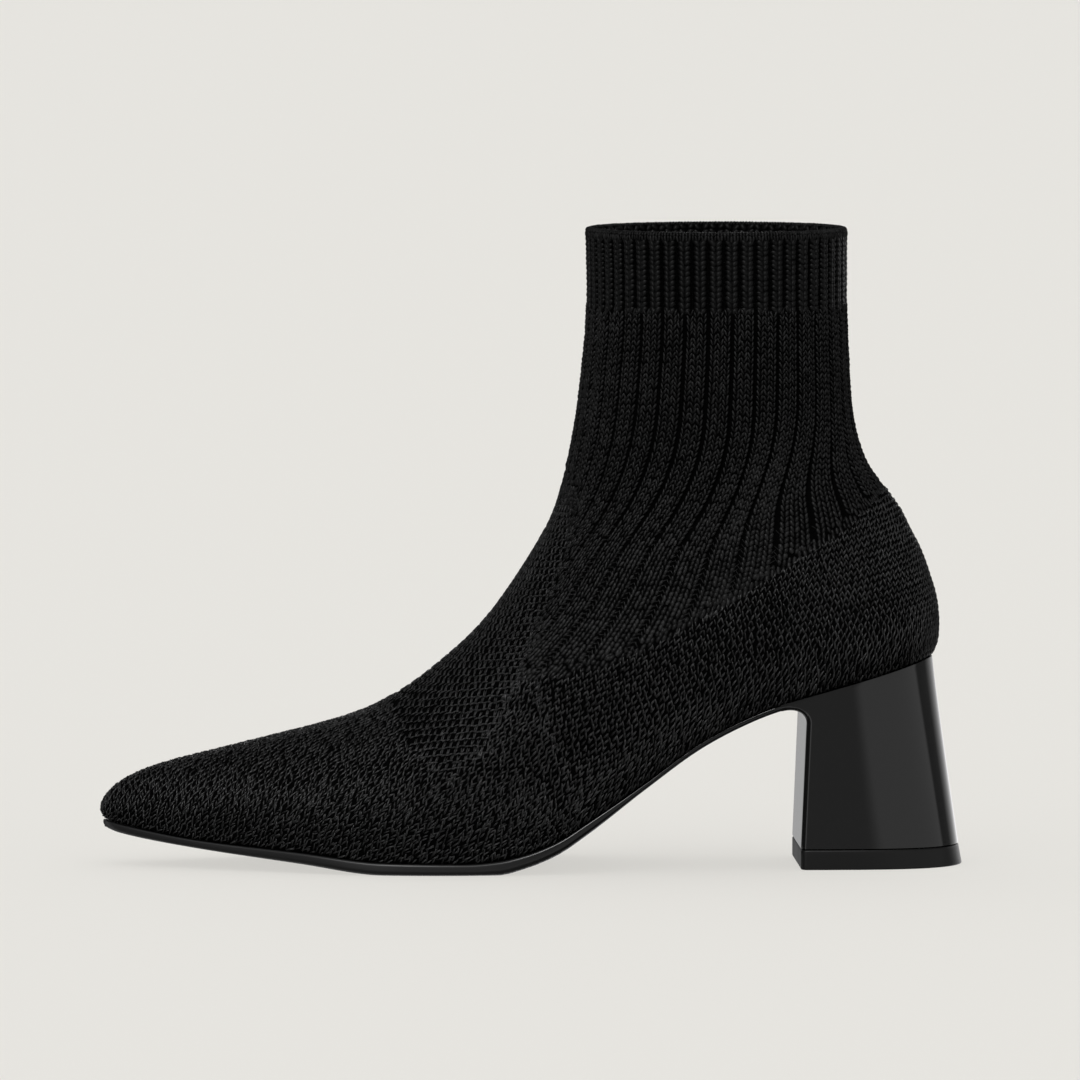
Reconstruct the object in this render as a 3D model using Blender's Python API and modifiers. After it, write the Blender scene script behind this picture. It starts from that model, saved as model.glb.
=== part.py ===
"""Knitted sock ankle boot on a flared block heel, left foot, in metres, toe to -X, sole on z = 0."""
import math

import bmesh
import bpy
from mathutils import Vector

MM = 0.001

# Driving sizes in millimetres
TOE_X = -127.8
HEEL_X = 120.8
COLLAR_FRONT_X = 16.5
COLLAR_BACK_X = 94.8
COLLAR_Z = 190.8
WALL = 1.8
GAP = 0.3
RIBS = 34
RIB_DEPTH = 0.9
CUFF_RING = 14
CUFF_STEP = 0.3
POCKET_STEP = 0.8
FORWARD_SKEW = 0.147
SEAT_FRONT_X = 73.5
INSOLE_THICK = 3.0
TOP_PIECE_HIGH = 6.0
BREAST_TOP_X = 81.5
BREAST_FOOT_X = 79.9
HEEL_FOOT_BACK_X = 128.4
TOP_PIECE_BACK_X = 129.5
HEEL_FOOT_HALF = 23.8
BREAST_FILLET = 1.8
LIP_FILLET = 0.2
LIP_X = SEAT_FRONT_X + GAP
LIP_DOWN = 0.046
COVE_DOWN = 0.17
SEAT_INSET = 0.5
HEEL_BACK_TOP_X = HEEL_X - SEAT_INSET

# Upper, a row per ring from the sole edge to the collar: ends in side view, then half widths at WIDTH_AT
WIDTH_AT = (0.0, 0.10, 0.20, 0.35, 0.50, 0.60, 0.75, 0.90, 1.0)
UPPER_RINGS = (
    # name       front_x front_z back_x back_z   tip   toe  vamp  ball  waist rear  heel
    ("feather",  -127.8,  13.8, 120.8,  63.0, (17.5, 18.7, 26.4, 38.5, 37.3, 34.4, 61.0)),
    ("welt",     -128.7,  17.4, 122.1,  66.5, (22.0, 20.9, 28.2, 40.0, 38.8, 36.0, 66.0)),
    ("bulge",    -126.4,  21.9, 122.5,  71.0, (21.5, 22.4, 30.2, 40.8, 39.0, 37.5, 68.5)),
    ("toe_box",  -120.3,  26.4, 122.4,  75.5, (20.5, 22.4, 30.4, 39.9, 38.0, 38.6, 68.5)),
    ("toe_top",  -109.0,  30.8, 121.7,  80.5, (20.0, 21.4, 29.6, 38.5, 36.4, 39.4, 67.0)),
    ("vamp",      -87.3,  36.3, 120.1,  86.0, (20.5, 21.8, 29.6, 36.8, 35.0, 39.7, 62.5)),
    ("vamp_top",  -57.3,  44.1, 117.3,  93.9, (22.0, 23.6, 30.4, 34.8, 33.4, 39.4, 54.5)),
    ("throat",    -42.3,  50.5, 114.0, 100.5, (24.0, 25.4, 30.8, 33.2, 32.8, 38.6, 47.5)),
    ("instep",    -27.3,  61.2, 110.4, 107.4, (25.5, 27.0, 30.4, 32.2, 32.4, 37.2, 41.0)),
    ("bend",      -12.3,  75.8, 106.0, 113.5, (27.0, 28.0, 30.0, 31.4, 32.0, 35.4, 36.0)),
    ("ankle",       2.7,  98.1, 100.8, 120.9, (29.0, 29.2, 30.2, 31.2, 31.8, 33.6, 33.0)),
    ("shin",        8.7, 111.9,  98.0, 128.5, (30.2, 30.2, 30.8, 31.5, 31.9, 32.8, 32.2)),
    ("shaft_low",  12.9, 129.9,  96.2, 138.0, (31.3, 31.3, 31.7, 32.2, 32.4, 32.7, 32.4)),
    ("shaft",      15.3, 147.9,  95.4, 150.0, (32.6, 32.6, 32.8, 33.2, 33.3, 33.4, 33.2)),
    ("cuff_foot",  16.8, 166.0,  94.8, 166.0, (34.0, 34.0, 34.0, 34.2, 34.2, 34.2, 34.0)),
    ("collar",     16.5, 190.8,  94.8, 190.8, (35.0, 35.0, 35.0, 35.0, 35.0, 35.0, 35.0)),
)
LAST_RING = len(UPPER_RINGS) - 1

# Sole in side view, a row per station from toe to heel: ground side and top edge
SOLE_STATIONS = (
    # x        tread_z feather_z
    (-127.8,   11.4,   13.8),
    (-123.0,    9.8,   12.7),
    (-99.0,     6.1,    8.9),
    (-69.0,     2.7,    6.4),
    (-45.0,     0.0,    4.1),
    (-20.0,     0.0,    3.8),
    (-11.0,     0.0,    4.6),
    (-2.5,      2.0,    6.6),
    (6.6,       5.7,   10.2),
    (16.0,     11.9,   16.0),
    (32.7,     24.6,   26.9),
    (50.7,     37.0,   39.4),
    (65.0,     44.0,   46.4),
    (73.5,     47.2,   49.6),
    (120.8,    60.5,   63.0),
)

# Plan swing of the last, toward the inner side of the foot when positive
SWING_X = (-128.0, -100.0, -75.0, -40.0, 0.0, 45.0, 85.0, 120.0)
SWING_Y = (6.0, 4.8, 3.0, 0.2, -2.2, -2.4, -0.4, 0.0)

# Line where the ribs stop and the plain foot and heel pocket begin, in side view
RIB_END_X = (-60.0, 0.0, 26.7, 50.7, 80.7, 96.6, 106.0, 125.0)
RIB_END_Z = (52.0, 60.0, 65.0, 76.0, 94.0, 104.4, 112.5, 124.0)


def curve(knots, values, t, flats=False):
    """Smooth value at t through the knots; flats keeps level runs level."""
    last = len(knots) - 1
    t = min(max(t, knots[0]), knots[last])
    i = 0
    while i < last - 1 and t > knots[i + 1]:
        i += 1

    def slope(j):
        if j == 0:
            return (values[1] - values[0]) / (knots[1] - knots[0])
        if j == last:
            return (values[last] - values[last - 1]) / (knots[last] - knots[last - 1])
        before = (values[j] - values[j - 1]) / (knots[j] - knots[j - 1])
        after = (values[j + 1] - values[j]) / (knots[j + 1] - knots[j])
        if flats:
            return 0.0 if before * after <= 0 else 2 * before * after / (before + after)
        left = knots[j] - knots[j - 1]
        right = knots[j + 1] - knots[j]
        return (before * right + after * left) / (left + right)

    step = knots[i + 1] - knots[i]
    s = (t - knots[i]) / step
    a = (1 + 2 * s) * (1 - s) ** 2 * values[i] + s * (1 - s) ** 2 * step * slope(i)
    b = s * s * (3 - 2 * s) * values[i + 1] + s * s * (s - 1) * step * slope(i + 1)
    return a + b


def ease(low, high, t):
    """Smooth rise from 0 at low to 1 at high."""
    s = min(max((t - low) / (high - low), 0.0), 1.0)
    return s * s * (3 - 2 * s)


RING_AT = tuple(range(LAST_RING + 1))
RING_COLUMN = {name: tuple(row[n + 1] for row in UPPER_RINGS)
               for n, name in enumerate(("front_x", "front_z", "back_x", "back_z"))}
SOLE_X = tuple(row[0] for row in SOLE_STATIONS)
TREAD_Z = tuple(row[1] for row in SOLE_STATIONS)
FEATHER_Z = tuple(row[2] for row in SOLE_STATIONS)


def feather_x(u):
    """Length along the sole edge, u 0 at the toe tip and 1 at the heel back."""
    turn = math.pi * u
    return TOE_X + (HEEL_X - TOE_X) * ((1 - math.cos(turn)) / 2 - FORWARD_SKEW * math.sin(turn) ** 2)


def feather_u(x):
    """Share u along the sole edge that lies at length x."""
    low, high = 0.0, 1.0
    for _ in range(40):
        mid = (low + high) / 2
        if feather_x(mid) < x:
            low = mid
        else:
            high = mid
    return (low + high) / 2


def feather_z(x):
    return curve(SOLE_X, FEATHER_Z, x, flats=True)


def tread_z(x):
    return curve(SOLE_X, TREAD_Z, x, flats=True)


def widths(row):
    """Half width amplitudes of one ring, with the end values held to both ends."""
    return (row[5][0],) + row[5] + (row[5][-1],)


def amplitude(u, k):
    """Half width amplitude at share u of the way back and ring k."""
    low = min(int(k), LAST_RING - 1)
    near = range(max(low - 1, 0), min(low + 2, LAST_RING) + 1)
    values = tuple(curve(WIDTH_AT, widths(UPPER_RINGS[n]), u) for n in near)
    return curve(tuple(near), values, k)


def side_point(u, k):
    """Length and height of the upper at share u and ring k, seen from the side."""
    v = k / LAST_RING
    turn = math.pi * u
    front = (1 + math.cos(turn)) / 2
    at = {name: curve(RING_AT, column, k) for name, column in RING_COLUMN.items()}
    sole_x = feather_x(u)
    sole_z = feather_z(sole_x)
    top_x = COLLAR_BACK_X + (COLLAR_FRONT_X - COLLAR_BACK_X) * front
    place = []
    for sole, top, axis in ((sole_x, top_x, "x"), (sole_z, COLLAR_Z, "z")):
        ends = []
        for end in ("front_", "back_"):
            column = RING_COLUMN[end + axis]
            ends.append(at[end + axis] - (1 - v) * column[0] - v * column[-1])
        place.append((1 - v) * sole + v * top + front * ends[0] + (1 - front) * ends[1])
    return place


def swing(x, z):
    """Sideways shift of the last, gone above the instep."""
    return curve(SWING_X, SWING_Y, x) * (1 - ease(50.0, 110.0, z))


def upper_skin(u, side, k):
    """Point on the plain outer face of the upper."""
    x, z = side_point(u, k)
    return Vector((x, swing(x, z) + side * amplitude(u, k) * math.sin(math.pi * u), z))


def turned(c, count):
    """Share u and side for column c of count, from the toe round the outer side to the heel."""
    u = 2.0 * c / count
    return (u, -1) if u <= 1.0 else (2.0 - u, 1)


def outward(c, k, count):
    """Outward direction of the upper at column c and ring k."""
    ahead = upper_skin(*turned((c + 0.5) % count, count), k)
    behind = upper_skin(*turned((c - 0.5) % count, count), k)
    low, high = max(k - 0.25, 0.0), min(k + 0.25, LAST_RING)
    up = upper_skin(*turned(c, count), high) - upper_skin(*turned(c, count), low)
    return (ahead - behind).cross(up).normalized()


def relief(c, k, point):
    """Height of ribs, cuff and heel pocket over the plain face."""
    above = point.z - curve(RIB_END_X, RIB_END_Z, point.x)
    ribbed = ease(0.0, 8.0, above) * (1 - ease(CUFF_RING - 0.6, CUFF_RING, k))
    rib = RIB_DEPTH / 2 * (1 if c % 2 == 0 else -1) * ribbed
    cuff = CUFF_STEP * ease(CUFF_RING - 0.6, CUFF_RING, k)
    behind = ease(25.0, 75.0, point.x) * ease(0.0, 1.5, k)
    pocket = POCKET_STEP * behind * (0.5 - ease(-2.0, 2.0, above)) * (1 - ease(4.0, 20.0, above))
    return rib + cuff + pocket


def edge(u, side, inset):
    """Plan point of the sole edge moved in by inset."""
    step = 0.002
    low, high = max(u - step, 0.0), min(u + step, 1.0)

    def half(s):
        return curve(WIDTH_AT, widths(UPPER_RINGS[0]), s) * math.sin(math.pi * s)

    x, w = feather_x(u), half(u)
    if u == 0.0:
        x, w = x + inset, 0.0
    elif u == 1.0:
        x, w = x - inset, 0.0
    else:
        along = Vector((feather_x(high) - feather_x(low), half(high) - half(low))).normalized()
        x, w = x + inset * along.y, w - inset * along.x
    return x, swing(x, 0.0) + side * max(w, 0.0)


def sheet(name, columns, rows, place, closed_ends):
    """Grid of columns by rows moved to place(i, j), welded where it meets itself."""
    mesh = bpy.data.meshes.new(name)
    bm = bmesh.new()
    bmesh.ops.create_grid(bm, x_segments=columns, y_segments=rows, size=1.0)
    for vert in bm.verts:
        i = round((vert.co.x + 1) / 2 * columns)
        j = round((vert.co.y + 1) / 2 * rows)
        vert.co = Vector(place(i, j)) * MM
    bmesh.ops.remove_doubles(bm, verts=bm.verts, dist=0.00001)
    if closed_ends:
        open_edges = [e for e in bm.edges if e.is_boundary]
        bmesh.ops.holes_fill(bm, edges=open_edges, sides=0)
        bmesh.ops.recalc_face_normals(bm, faces=bm.faces)
    bm.to_mesh(mesh)
    bm.free()
    obj = bpy.data.objects.new(name, mesh)
    home.objects.link(obj)
    return obj


def dress(obj, colour, roughness):
    """Give a part its own plain material."""
    material = bpy.data.materials.new(obj.name)
    material.use_nodes = True
    shader = material.node_tree.nodes["Principled BSDF"]
    shader.inputs["Base Color"].default_value = colour
    shader.inputs["Roughness"].default_value = roughness
    obj.data.materials.append(material)


for old in list(bpy.data.objects):
    bpy.data.objects.remove(old, do_unlink=True)
home = bpy.data.collections.new("knit_ankle_boot")
bpy.context.scene.collection.children.link(home)

# Centre the boot across its width
COLUMNS = 2 * RIBS
spread = [upper_skin(*turned(c, COLUMNS), k).y for c in range(COLUMNS) for k in (1, 2, 3)]
MIDDLE = (min(spread) + max(spread)) / 2

# Upper: one knitted wall, open at the collar and along the sole edge
UPPER_ROWS = [k / 2 for k in range(0, 21)] + [11.0, 12.0, 13.4, 14.0, 15.0]


def upper_place(i, j):
    c = i % COLUMNS
    k = UPPER_ROWS[j]
    point = upper_skin(*turned(c, COLUMNS), k)
    point = point + outward(c, k, COLUMNS) * relief(c, k, point)
    return point.x, point.y - MIDDLE, point.z


upper = sheet("upper", COLUMNS, len(UPPER_ROWS) - 1, upper_place, closed_ends=False)
wall = upper.modifiers.new("wall", "SOLIDIFY")
wall.thickness = WALL * MM
wall.offset = -1.0
wall.use_even_offset = True
dress(upper, (0.01, 0.01, 0.011, 1.0), 0.85)

# Outsole: thin rubber from toe to heel breast, section given as inset and height share from top to ground
STATIONS = [c / RIBS for c in range(RIBS + 1)]
OUTSOLE_END = feather_u(SEAT_FRONT_X)
OUTSOLE_U = [u for u in STATIONS if u < OUTSOLE_END - 0.01] + [OUTSOLE_END]
OUTSOLE_SIDE = ((0.5, 0.0), (0.0, 0.15), (0.0, 0.60), (0.5, 0.90), (1.8, 1.0))


def outsole_place(i, j):
    u = OUTSOLE_U[j]
    count = len(OUTSOLE_SIDE)
    n = i % (2 * count)
    side = -1 if n < count else 1
    inset, down = OUTSOLE_SIDE[n if n < count else 2 * count - 1 - n]
    x, y = edge(u, side, inset)
    if j == len(OUTSOLE_U) - 1:
        x = SEAT_FRONT_X
    top = feather_z(x) - GAP
    return x, y - MIDDLE, top + (tread_z(x) - top) * down


outsole = sheet("outsole", 2 * len(OUTSOLE_SIDE), len(OUTSOLE_U) - 1, outsole_place, closed_ends=True)
dress(outsole, (0.015, 0.015, 0.015, 1.0), 0.6)

# Insole: pad inside the upper from toe to heel, section given as inset and height
INSOLE_SIDE = ((WALL + 1.2, INSOLE_THICK), (WALL + 0.6, INSOLE_THICK - 0.8), (WALL + 0.6, 0.15))


def insole_place(i, j):
    u = STATIONS[j]
    count = len(INSOLE_SIDE)
    n = i % (2 * count)
    side = -1 if n < count else 1
    inset, up = INSOLE_SIDE[n if n < count else 2 * count - 1 - n]
    x, y = edge(u, side, inset)
    return x, y - MIDDLE, feather_z(x) + up


insole = sheet("insole", 2 * len(INSOLE_SIDE), len(STATIONS) - 1, insole_place, closed_ends=True)
dress(insole, (0.02, 0.02, 0.021, 1.0), 0.8)

# Heel: block with a forward lip and a coved breast; a ring has a height share from the seat and a front place
COVE_TURNS = (15, 30, 45, 60, 75, 90)
BREAST_DOWN = (0.45, 0.75, 1.0)


def cove_ring(degrees):
    """Height share and front of the quarter-round cove at a turn from the lip to the breast."""
    turn = math.radians(degrees)
    down = LIP_DOWN + (COVE_DOWN - LIP_DOWN) * (1 - math.cos(turn))
    return down, LIP_X + (BREAST_TOP_X - LIP_X) * math.sin(turn)


def breast_ring(down):
    """Height share and front of the straight breast below the cove."""
    s = (down - COVE_DOWN) / (1 - COVE_DOWN)
    return down, BREAST_TOP_X + (BREAST_FOOT_X - BREAST_TOP_X) * s


HEEL_RINGS = [(0.0, LIP_X), (LIP_DOWN, LIP_X)]
HEEL_RINGS += [cove_ring(degrees) for degrees in COVE_TURNS]
HEEL_RINGS += [breast_ring(down) for down in BREAST_DOWN]
BACK_STEPS = 13


def seat_half(x):
    return edge(feather_u(x), 1, SEAT_INSET)[1] - swing(x, 0.0) if x < HEEL_BACK_TOP_X else 0.0


def block_half(front, back, x, down):
    """Half width of the heel block, round as the seat on top and squarer at the foot."""
    s = (x - front) / (back - front)
    foot = HEEL_FOOT_HALF * math.sqrt(max(1 - s ** 4, 0.0))
    along = s * (HEEL_BACK_TOP_X - front) + front
    return seat_half(along) * (1 - down) + foot * down


def block_outline(front, back, down):
    """Plan points round the block from the middle of the breast over the outer side to the back."""
    fillet = LIP_FILLET + (BREAST_FILLET - LIP_FILLET) * ease(LIP_DOWN, COVE_DOWN, down)
    half = block_half(front, back, front + fillet, down)
    line = [(front, 0.0), (front, half * 0.5), (front, half - fillet)]
    line.append((front + 0.3 * fillet, half - 0.3 * fillet))
    for n in range(BACK_STEPS + 1):
        s = 1 - (1 - n / BACK_STEPS) ** 2
        x = front + fillet + (back - front - fillet) * s
        line.append((x, block_half(front, back, x, down) if n < BACK_STEPS else 0.0))
    return line


def round_place(line, i):
    """Point i on an outline closed by its mirror image."""
    last = len(line) - 1
    n = i % (2 * last)
    x, half = line[n] if n <= last else line[2 * last - n]
    return x, -half if n <= last else half


AROUND = 2 * (4 + BACK_STEPS)
HEEL_TOP_SLOPE = (FEATHER_Z[-1] - FEATHER_Z[-2]) / (SOLE_X[-1] - SOLE_X[-2])


def heel_place(i, j):
    down, front = HEEL_RINGS[j]
    back = HEEL_BACK_TOP_X + (HEEL_FOOT_BACK_X - HEEL_BACK_TOP_X) * down ** 1.1
    x, y = round_place(block_outline(front, back, down), i)
    seat = FEATHER_Z[-2] + HEEL_TOP_SLOPE * (x - SOLE_X[-2]) - GAP
    foot = TOP_PIECE_HIGH + GAP
    return x, y - MIDDLE, seat + (foot - seat) * down


heel = sheet("heel", AROUND, len(HEEL_RINGS) - 1, heel_place, closed_ends=True)
dress(heel, (0.012, 0.012, 0.012, 1.0), 0.12)

# Top piece: rubber lift under the heel, a row per ring: height, flare at the back and inset
TOP_PIECE_RINGS = ((TOP_PIECE_HIGH, 0.0, 0.0), (0.6, 0.9, 0.0), (0.0, 1.1, 0.5))


def top_piece_place(i, j):
    z, flare, inset = TOP_PIECE_RINGS[j]
    reach = TOP_PIECE_BACK_X - HEEL_FOOT_BACK_X
    line = block_outline(BREAST_FOOT_X + inset, HEEL_FOOT_BACK_X + reach * flare - inset, 1.0)
    x, y = round_place(line, i)
    shrink = 1 - inset / HEEL_FOOT_HALF
    return x, y * shrink - MIDDLE, z


top_piece = sheet("top_piece", AROUND, len(TOP_PIECE_RINGS) - 1, top_piece_place, closed_ends=True)
dress(top_piece, (0.02, 0.02, 0.02, 1.0), 0.7)
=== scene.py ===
"""Black knitted ankle boot on a glossy block heel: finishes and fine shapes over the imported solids."""
import math

import bpy
import numpy as np
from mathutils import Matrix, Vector


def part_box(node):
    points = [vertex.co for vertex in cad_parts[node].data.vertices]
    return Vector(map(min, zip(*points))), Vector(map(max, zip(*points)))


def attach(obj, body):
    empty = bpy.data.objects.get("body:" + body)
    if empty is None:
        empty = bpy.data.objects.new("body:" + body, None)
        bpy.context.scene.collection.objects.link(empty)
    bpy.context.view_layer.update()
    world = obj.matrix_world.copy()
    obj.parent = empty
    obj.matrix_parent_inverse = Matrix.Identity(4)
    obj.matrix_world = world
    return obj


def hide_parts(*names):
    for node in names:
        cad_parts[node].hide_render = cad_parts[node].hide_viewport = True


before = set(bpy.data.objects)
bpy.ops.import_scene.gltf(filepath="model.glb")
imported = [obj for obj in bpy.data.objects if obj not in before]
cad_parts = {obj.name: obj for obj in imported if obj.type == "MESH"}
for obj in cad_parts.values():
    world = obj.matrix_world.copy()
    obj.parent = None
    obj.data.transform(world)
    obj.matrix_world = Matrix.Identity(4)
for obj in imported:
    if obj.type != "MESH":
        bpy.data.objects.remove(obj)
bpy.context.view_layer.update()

MM = 0.001

# Sizes of the boot in millimetres, as in the solids
TOE_X = -127.8
HEEL_X = 120.8
COLLAR_FRONT_X = 16.5
COLLAR_BACK_X = 94.8
COLLAR_Z = 190.8
CUFF_HIGH = 24.8
WALL = 1.8
GAP = 0.3
FORWARD_SKEW = 0.147
SEAT_FRONT_X = 73.5
INSOLE_THICK = 3.0
TOP_PIECE_HIGH = 6.0
BREAST_TOP_X = 81.5
BREAST_FOOT_X = 79.9
HEEL_FOOT_BACK_X = 128.4
TOP_PIECE_BACK_X = 129.5
HEEL_FOOT_HALF = 23.8
BREAST_FILLET = 1.8
LIP_FILLET = 1.6
LIP_X = SEAT_FRONT_X + GAP
LIP_DOWN = 0.046
COVE_DOWN = 0.17
SEAT_INSET = 0.5
HEEL_BACK_TOP_X = HEEL_X - SEAT_INSET

# Sides of the boot, and settings of the meshes
OUTER, INNER = -1, 1
BOTH_SIDES = (OUTER, INNER)
RING_SAMPLES = 41
UV_NAME = "UVMap"
SEAM_MERGE = 0.002 * MM

# Outsole: rounds as shares of its thickness, thinner and tucked in toward the heel
OUTSOLE_TOP_ROUND = 0.24
OUTSOLE_GROUND_ROUND = 0.62
OUTSOLE_TOP_INSETS = (6.0, 2.5)
OUTSOLE_GROUND_INSETS = (3.5, 7.0)
OUTSOLE_TIP_INSET = 0.4
OUTSOLE_TIP_SPREAD = 60.0
OUTSOLE_THIN = 0.3
OUTSOLE_THIN_X = 40.0
OUTSOLE_TUCK = 0.9
OUTSOLE_ARCH_X = (25.0, 50.0)
OUTSOLE_LIP_X = 58.0
OUTSOLE_END_X = LIP_X - 0.02
TIP_SHARE = 0.12
EDGE_STEP = 0.002
TREAD_PITCH = 3.5
# From these lengths back the sole rubber is glossier and painted darker: painted shade under the upper
WAIST_X = (20.0, -20.0)
WAIST_GLOSS = 0.1

# Insole: inset and drop of its top, inset and height of its underside
INSOLE_EDGE = WALL + 0.6
INSOLE_TOP = ((9.0, 0.4), (4.0, 0.1))
INSOLE_UNDER = ((0.0, 0.2), (6.0, 0.15))
INSOLE_ROUND = 1.0
INSOLE_SPREAD = 40.0
INSOLE_BACK = 0.9
THREAD_PITCH = 0.9

# Heel: shares down the block, its edges, and the steps of its mesh
LIP_SHARES = (0.0, 0.006, 0.02, 0.036)
LIP_TURN_DOWN = 0.044
LIP_TURN_IN = 0.1
FOOT_SHARES = (0.985, 0.993, 1.0)
BACK_CURVE = 1.1
HEEL_EDGE = 0.05
HEEL_EDGE_SHARE = 0.005
LIFT_ROUND = 0.5
BREAST_COLUMNS = 7
BACK_STEPS = 44
FRONT_STEPS = 22
FRONT_LONG = 9.0
SHARP_ANGLE = math.radians(40)

# Knit: rib units round the shaft, surface columns for each unit, and the relief of ribs, pocket and rim
WALES = 102
WALE_COLUMNS = 4
COLUMNS = WALES * WALE_COLUMNS
UPPER_ROWS = 124
SHAFT_RIB = 3
CUFF_RIB = 2
SHAFT_GROOVE = 2.745
CUFF_GROOVE = 1.66
SHAFT_LEGS = (0.17, 0.60, 1.03, 1.46, 1.89, 2.32)
CUFF_LEGS = (0.25, 1.07)
PURL_BEADS = (2.62, 2.90)
BAND_LEGS = (0.19, 0.56, 0.94, 1.31, 1.69, 2.06, 2.44, 2.81)
RIB_CREST = 0.15
SHAFT_DEEP = 1.1
CUFF_DEEP = 0.9
ANKLE_DEEP = 0.55
GROOVE_WIDE = 0.30
V_KNIT_Z = (96.0, 124.0)
V_KNIT_X = (35.0, 75.0)
PURL_TOP = 98.0
UPRIGHT_RINGS = (9.5, 12.5)
CUFF_RING = 14.0
CUFF_START = (CUFF_RING - 0.10, CUFF_RING + 0.06)
CUFF_COURSES = 15
SHAFT_COURSES = 96
SHAFT_SPAN = (CUFF_COURSES, SHAFT_COURSES)
BAND_SPAN = (CUFF_COURSES, SHAFT_COURSES + 20)
RIM_COURSES = 7
RIM_SPAN = (-2, 1)
COURSE = 1.6
RIM_ROLL = 1.0
RIM_INSIDE = 22.0
RIM_Z = COLLAR_Z - 2.2
RIM_BLEND = 1.0
RIM_FILL = 0.75
RIM_LEGS = (0.2, 0.6, 1.0, 1.4, 1.8)
ROLL_RINGS = 0.5
ROLL_STEPS = 9
INSIDE_ROWS = 13
INSIDE_RELIEF = 0.6
EDGE_IN = 1.2
EDGE_DOWN = 0.15
CROWDED_WALE = 1.5
ROOMY_WALE = 2.1
CROWDED_SLOPE = 1.55
MOST_WALES = 320
POCKET_STEP = 0.4
STEP_FADE = (4.0, 20.0)
HEEL_SIDE_X = (25.0, 75.0)
HEEL_SIDE_RINGS = (0.0, 1.5)
SEAM_HIGH = 0.15
SEAM_HIGH_AT = -0.8
SEAM_HIGH_WIDE = 0.9
SEAM_DEEP = 0.7
SEAM_DEEP_AT = 1.2
SEAM_DEEP_WIDE = 0.8
SEAM_END_X = (86.0, 98.0)
BACKING_SINK = 0.35
LINING_COLUMNS = 136
LINING_ROWS = 90
LINING_IN_CUFF = 0.6
LINING_LIFT = 0.25
BACK_COLUMN = COLUMNS / 2
TOE, BAND, POCKET, NET, RIBS = range(5)

# Yarn by kind of knit: sizes in millimetres or as shares of the wale, leans in degrees
YARN_SEED = 7
YARN_POLE = 0.01
YARN_UNDER = 0.3
SIDE_FACING = (0.25, 0.6)
LEAST_PATCH = 1e-9
SIZE_SPREAD = (0.9, 1.1)
CUFF_LONG = (2.4, 2.9)
CUFF_THICK = (0.26, 0.36)
CUFF_WIDE = 0.92
CUFF_LEAN = 33.0
RIM_LONG = (1.9, 2.4)
RIM_THICK = (0.28, 0.4)
RIM_WIDE = 0.36
RIM_LEAN = 9.0
SHAFT_LONG = 2.4
SHAFT_THICK = (0.36, 0.54)
SHAFT_WIDE = 0.39
SHAFT_LEAN = 24.0
ANKLE_LEAN = 0.45
PURL_LONG = 0.52
PURL_THICK = 0.24
PURL_WIDE = 0.78
PURL_LEAN = 42.0
BAND_LONG = (2.2, 3.0)
BAND_THICK = (0.3, 0.46)
BAND_WIDE = 0.36

# Toe, heel pocket and net: widths in millimetres, spacing, levels they cover, slants along the boot
WALE_WAVE = 0.15
WALE_WAVE_TURN = 2.4
LEVEL_REACH = 1.4
LEAST_ROW = 0.6
TOE_WALE = 1.2
TOE_COURSE = 1.4
TOE_LEVELS = (0.8, 130.0)
TOE_MIDDLE = 15.0
TOE_SLOPE = 0.6
TOE_SLANT_X = (-125.0, -100.0, -60.0, -20.0, 10.0)
TOE_SLANT = (68.0, 60.0, 50.0, 54.0, 64.0)
TOE_ZIGZAG = 20.0
TOE_LONG = (2.0, 3.2)
TOE_WIDE = (0.54, 0.74)
TOE_THICK = (0.34, 0.5)
POCKET_WALE = 1.15
POCKET_COURSE = 1.8
POCKET_LEVELS = (-8.0, 90.0)
POCKET_MIDDLE = 30.0
POCKET_TILT = 0.3
POCKET_EDGE = (8.0, 20.0)
POCKET_SLANT_X = (-20.0, 10.0, 60.0, 95.0)
POCKET_SLANTS = (62.0, 68.0, 80.0, 90.0)
POCKET_ZIGZAG = 23.0
POCKET_LONG = (2.15, 2.6)
POCKET_WIDE = (0.58, 0.76)
POCKET_THICK = (0.36, 0.5)
NET_WALE = 2.05
NET_COURSE = 1.95
NET_LEVELS = (24.0, 122.0)
NET_COLUMNS = 150.0
NET_TILT = 0.11
NET_THICK = (0.18, 0.30)
NET_LINKS = (
    # across  up     angle  length wide
    (0.80,    0.0,   72.0,  2.2,   0.52),
    (1.24,    0.0,   64.0,  2.1,   0.48),
    (-0.50,  -0.97,  24.0,  1.6,   0.60),
    (0.52,   -0.97,  -6.0,  1.6,   0.60),
)

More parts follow.
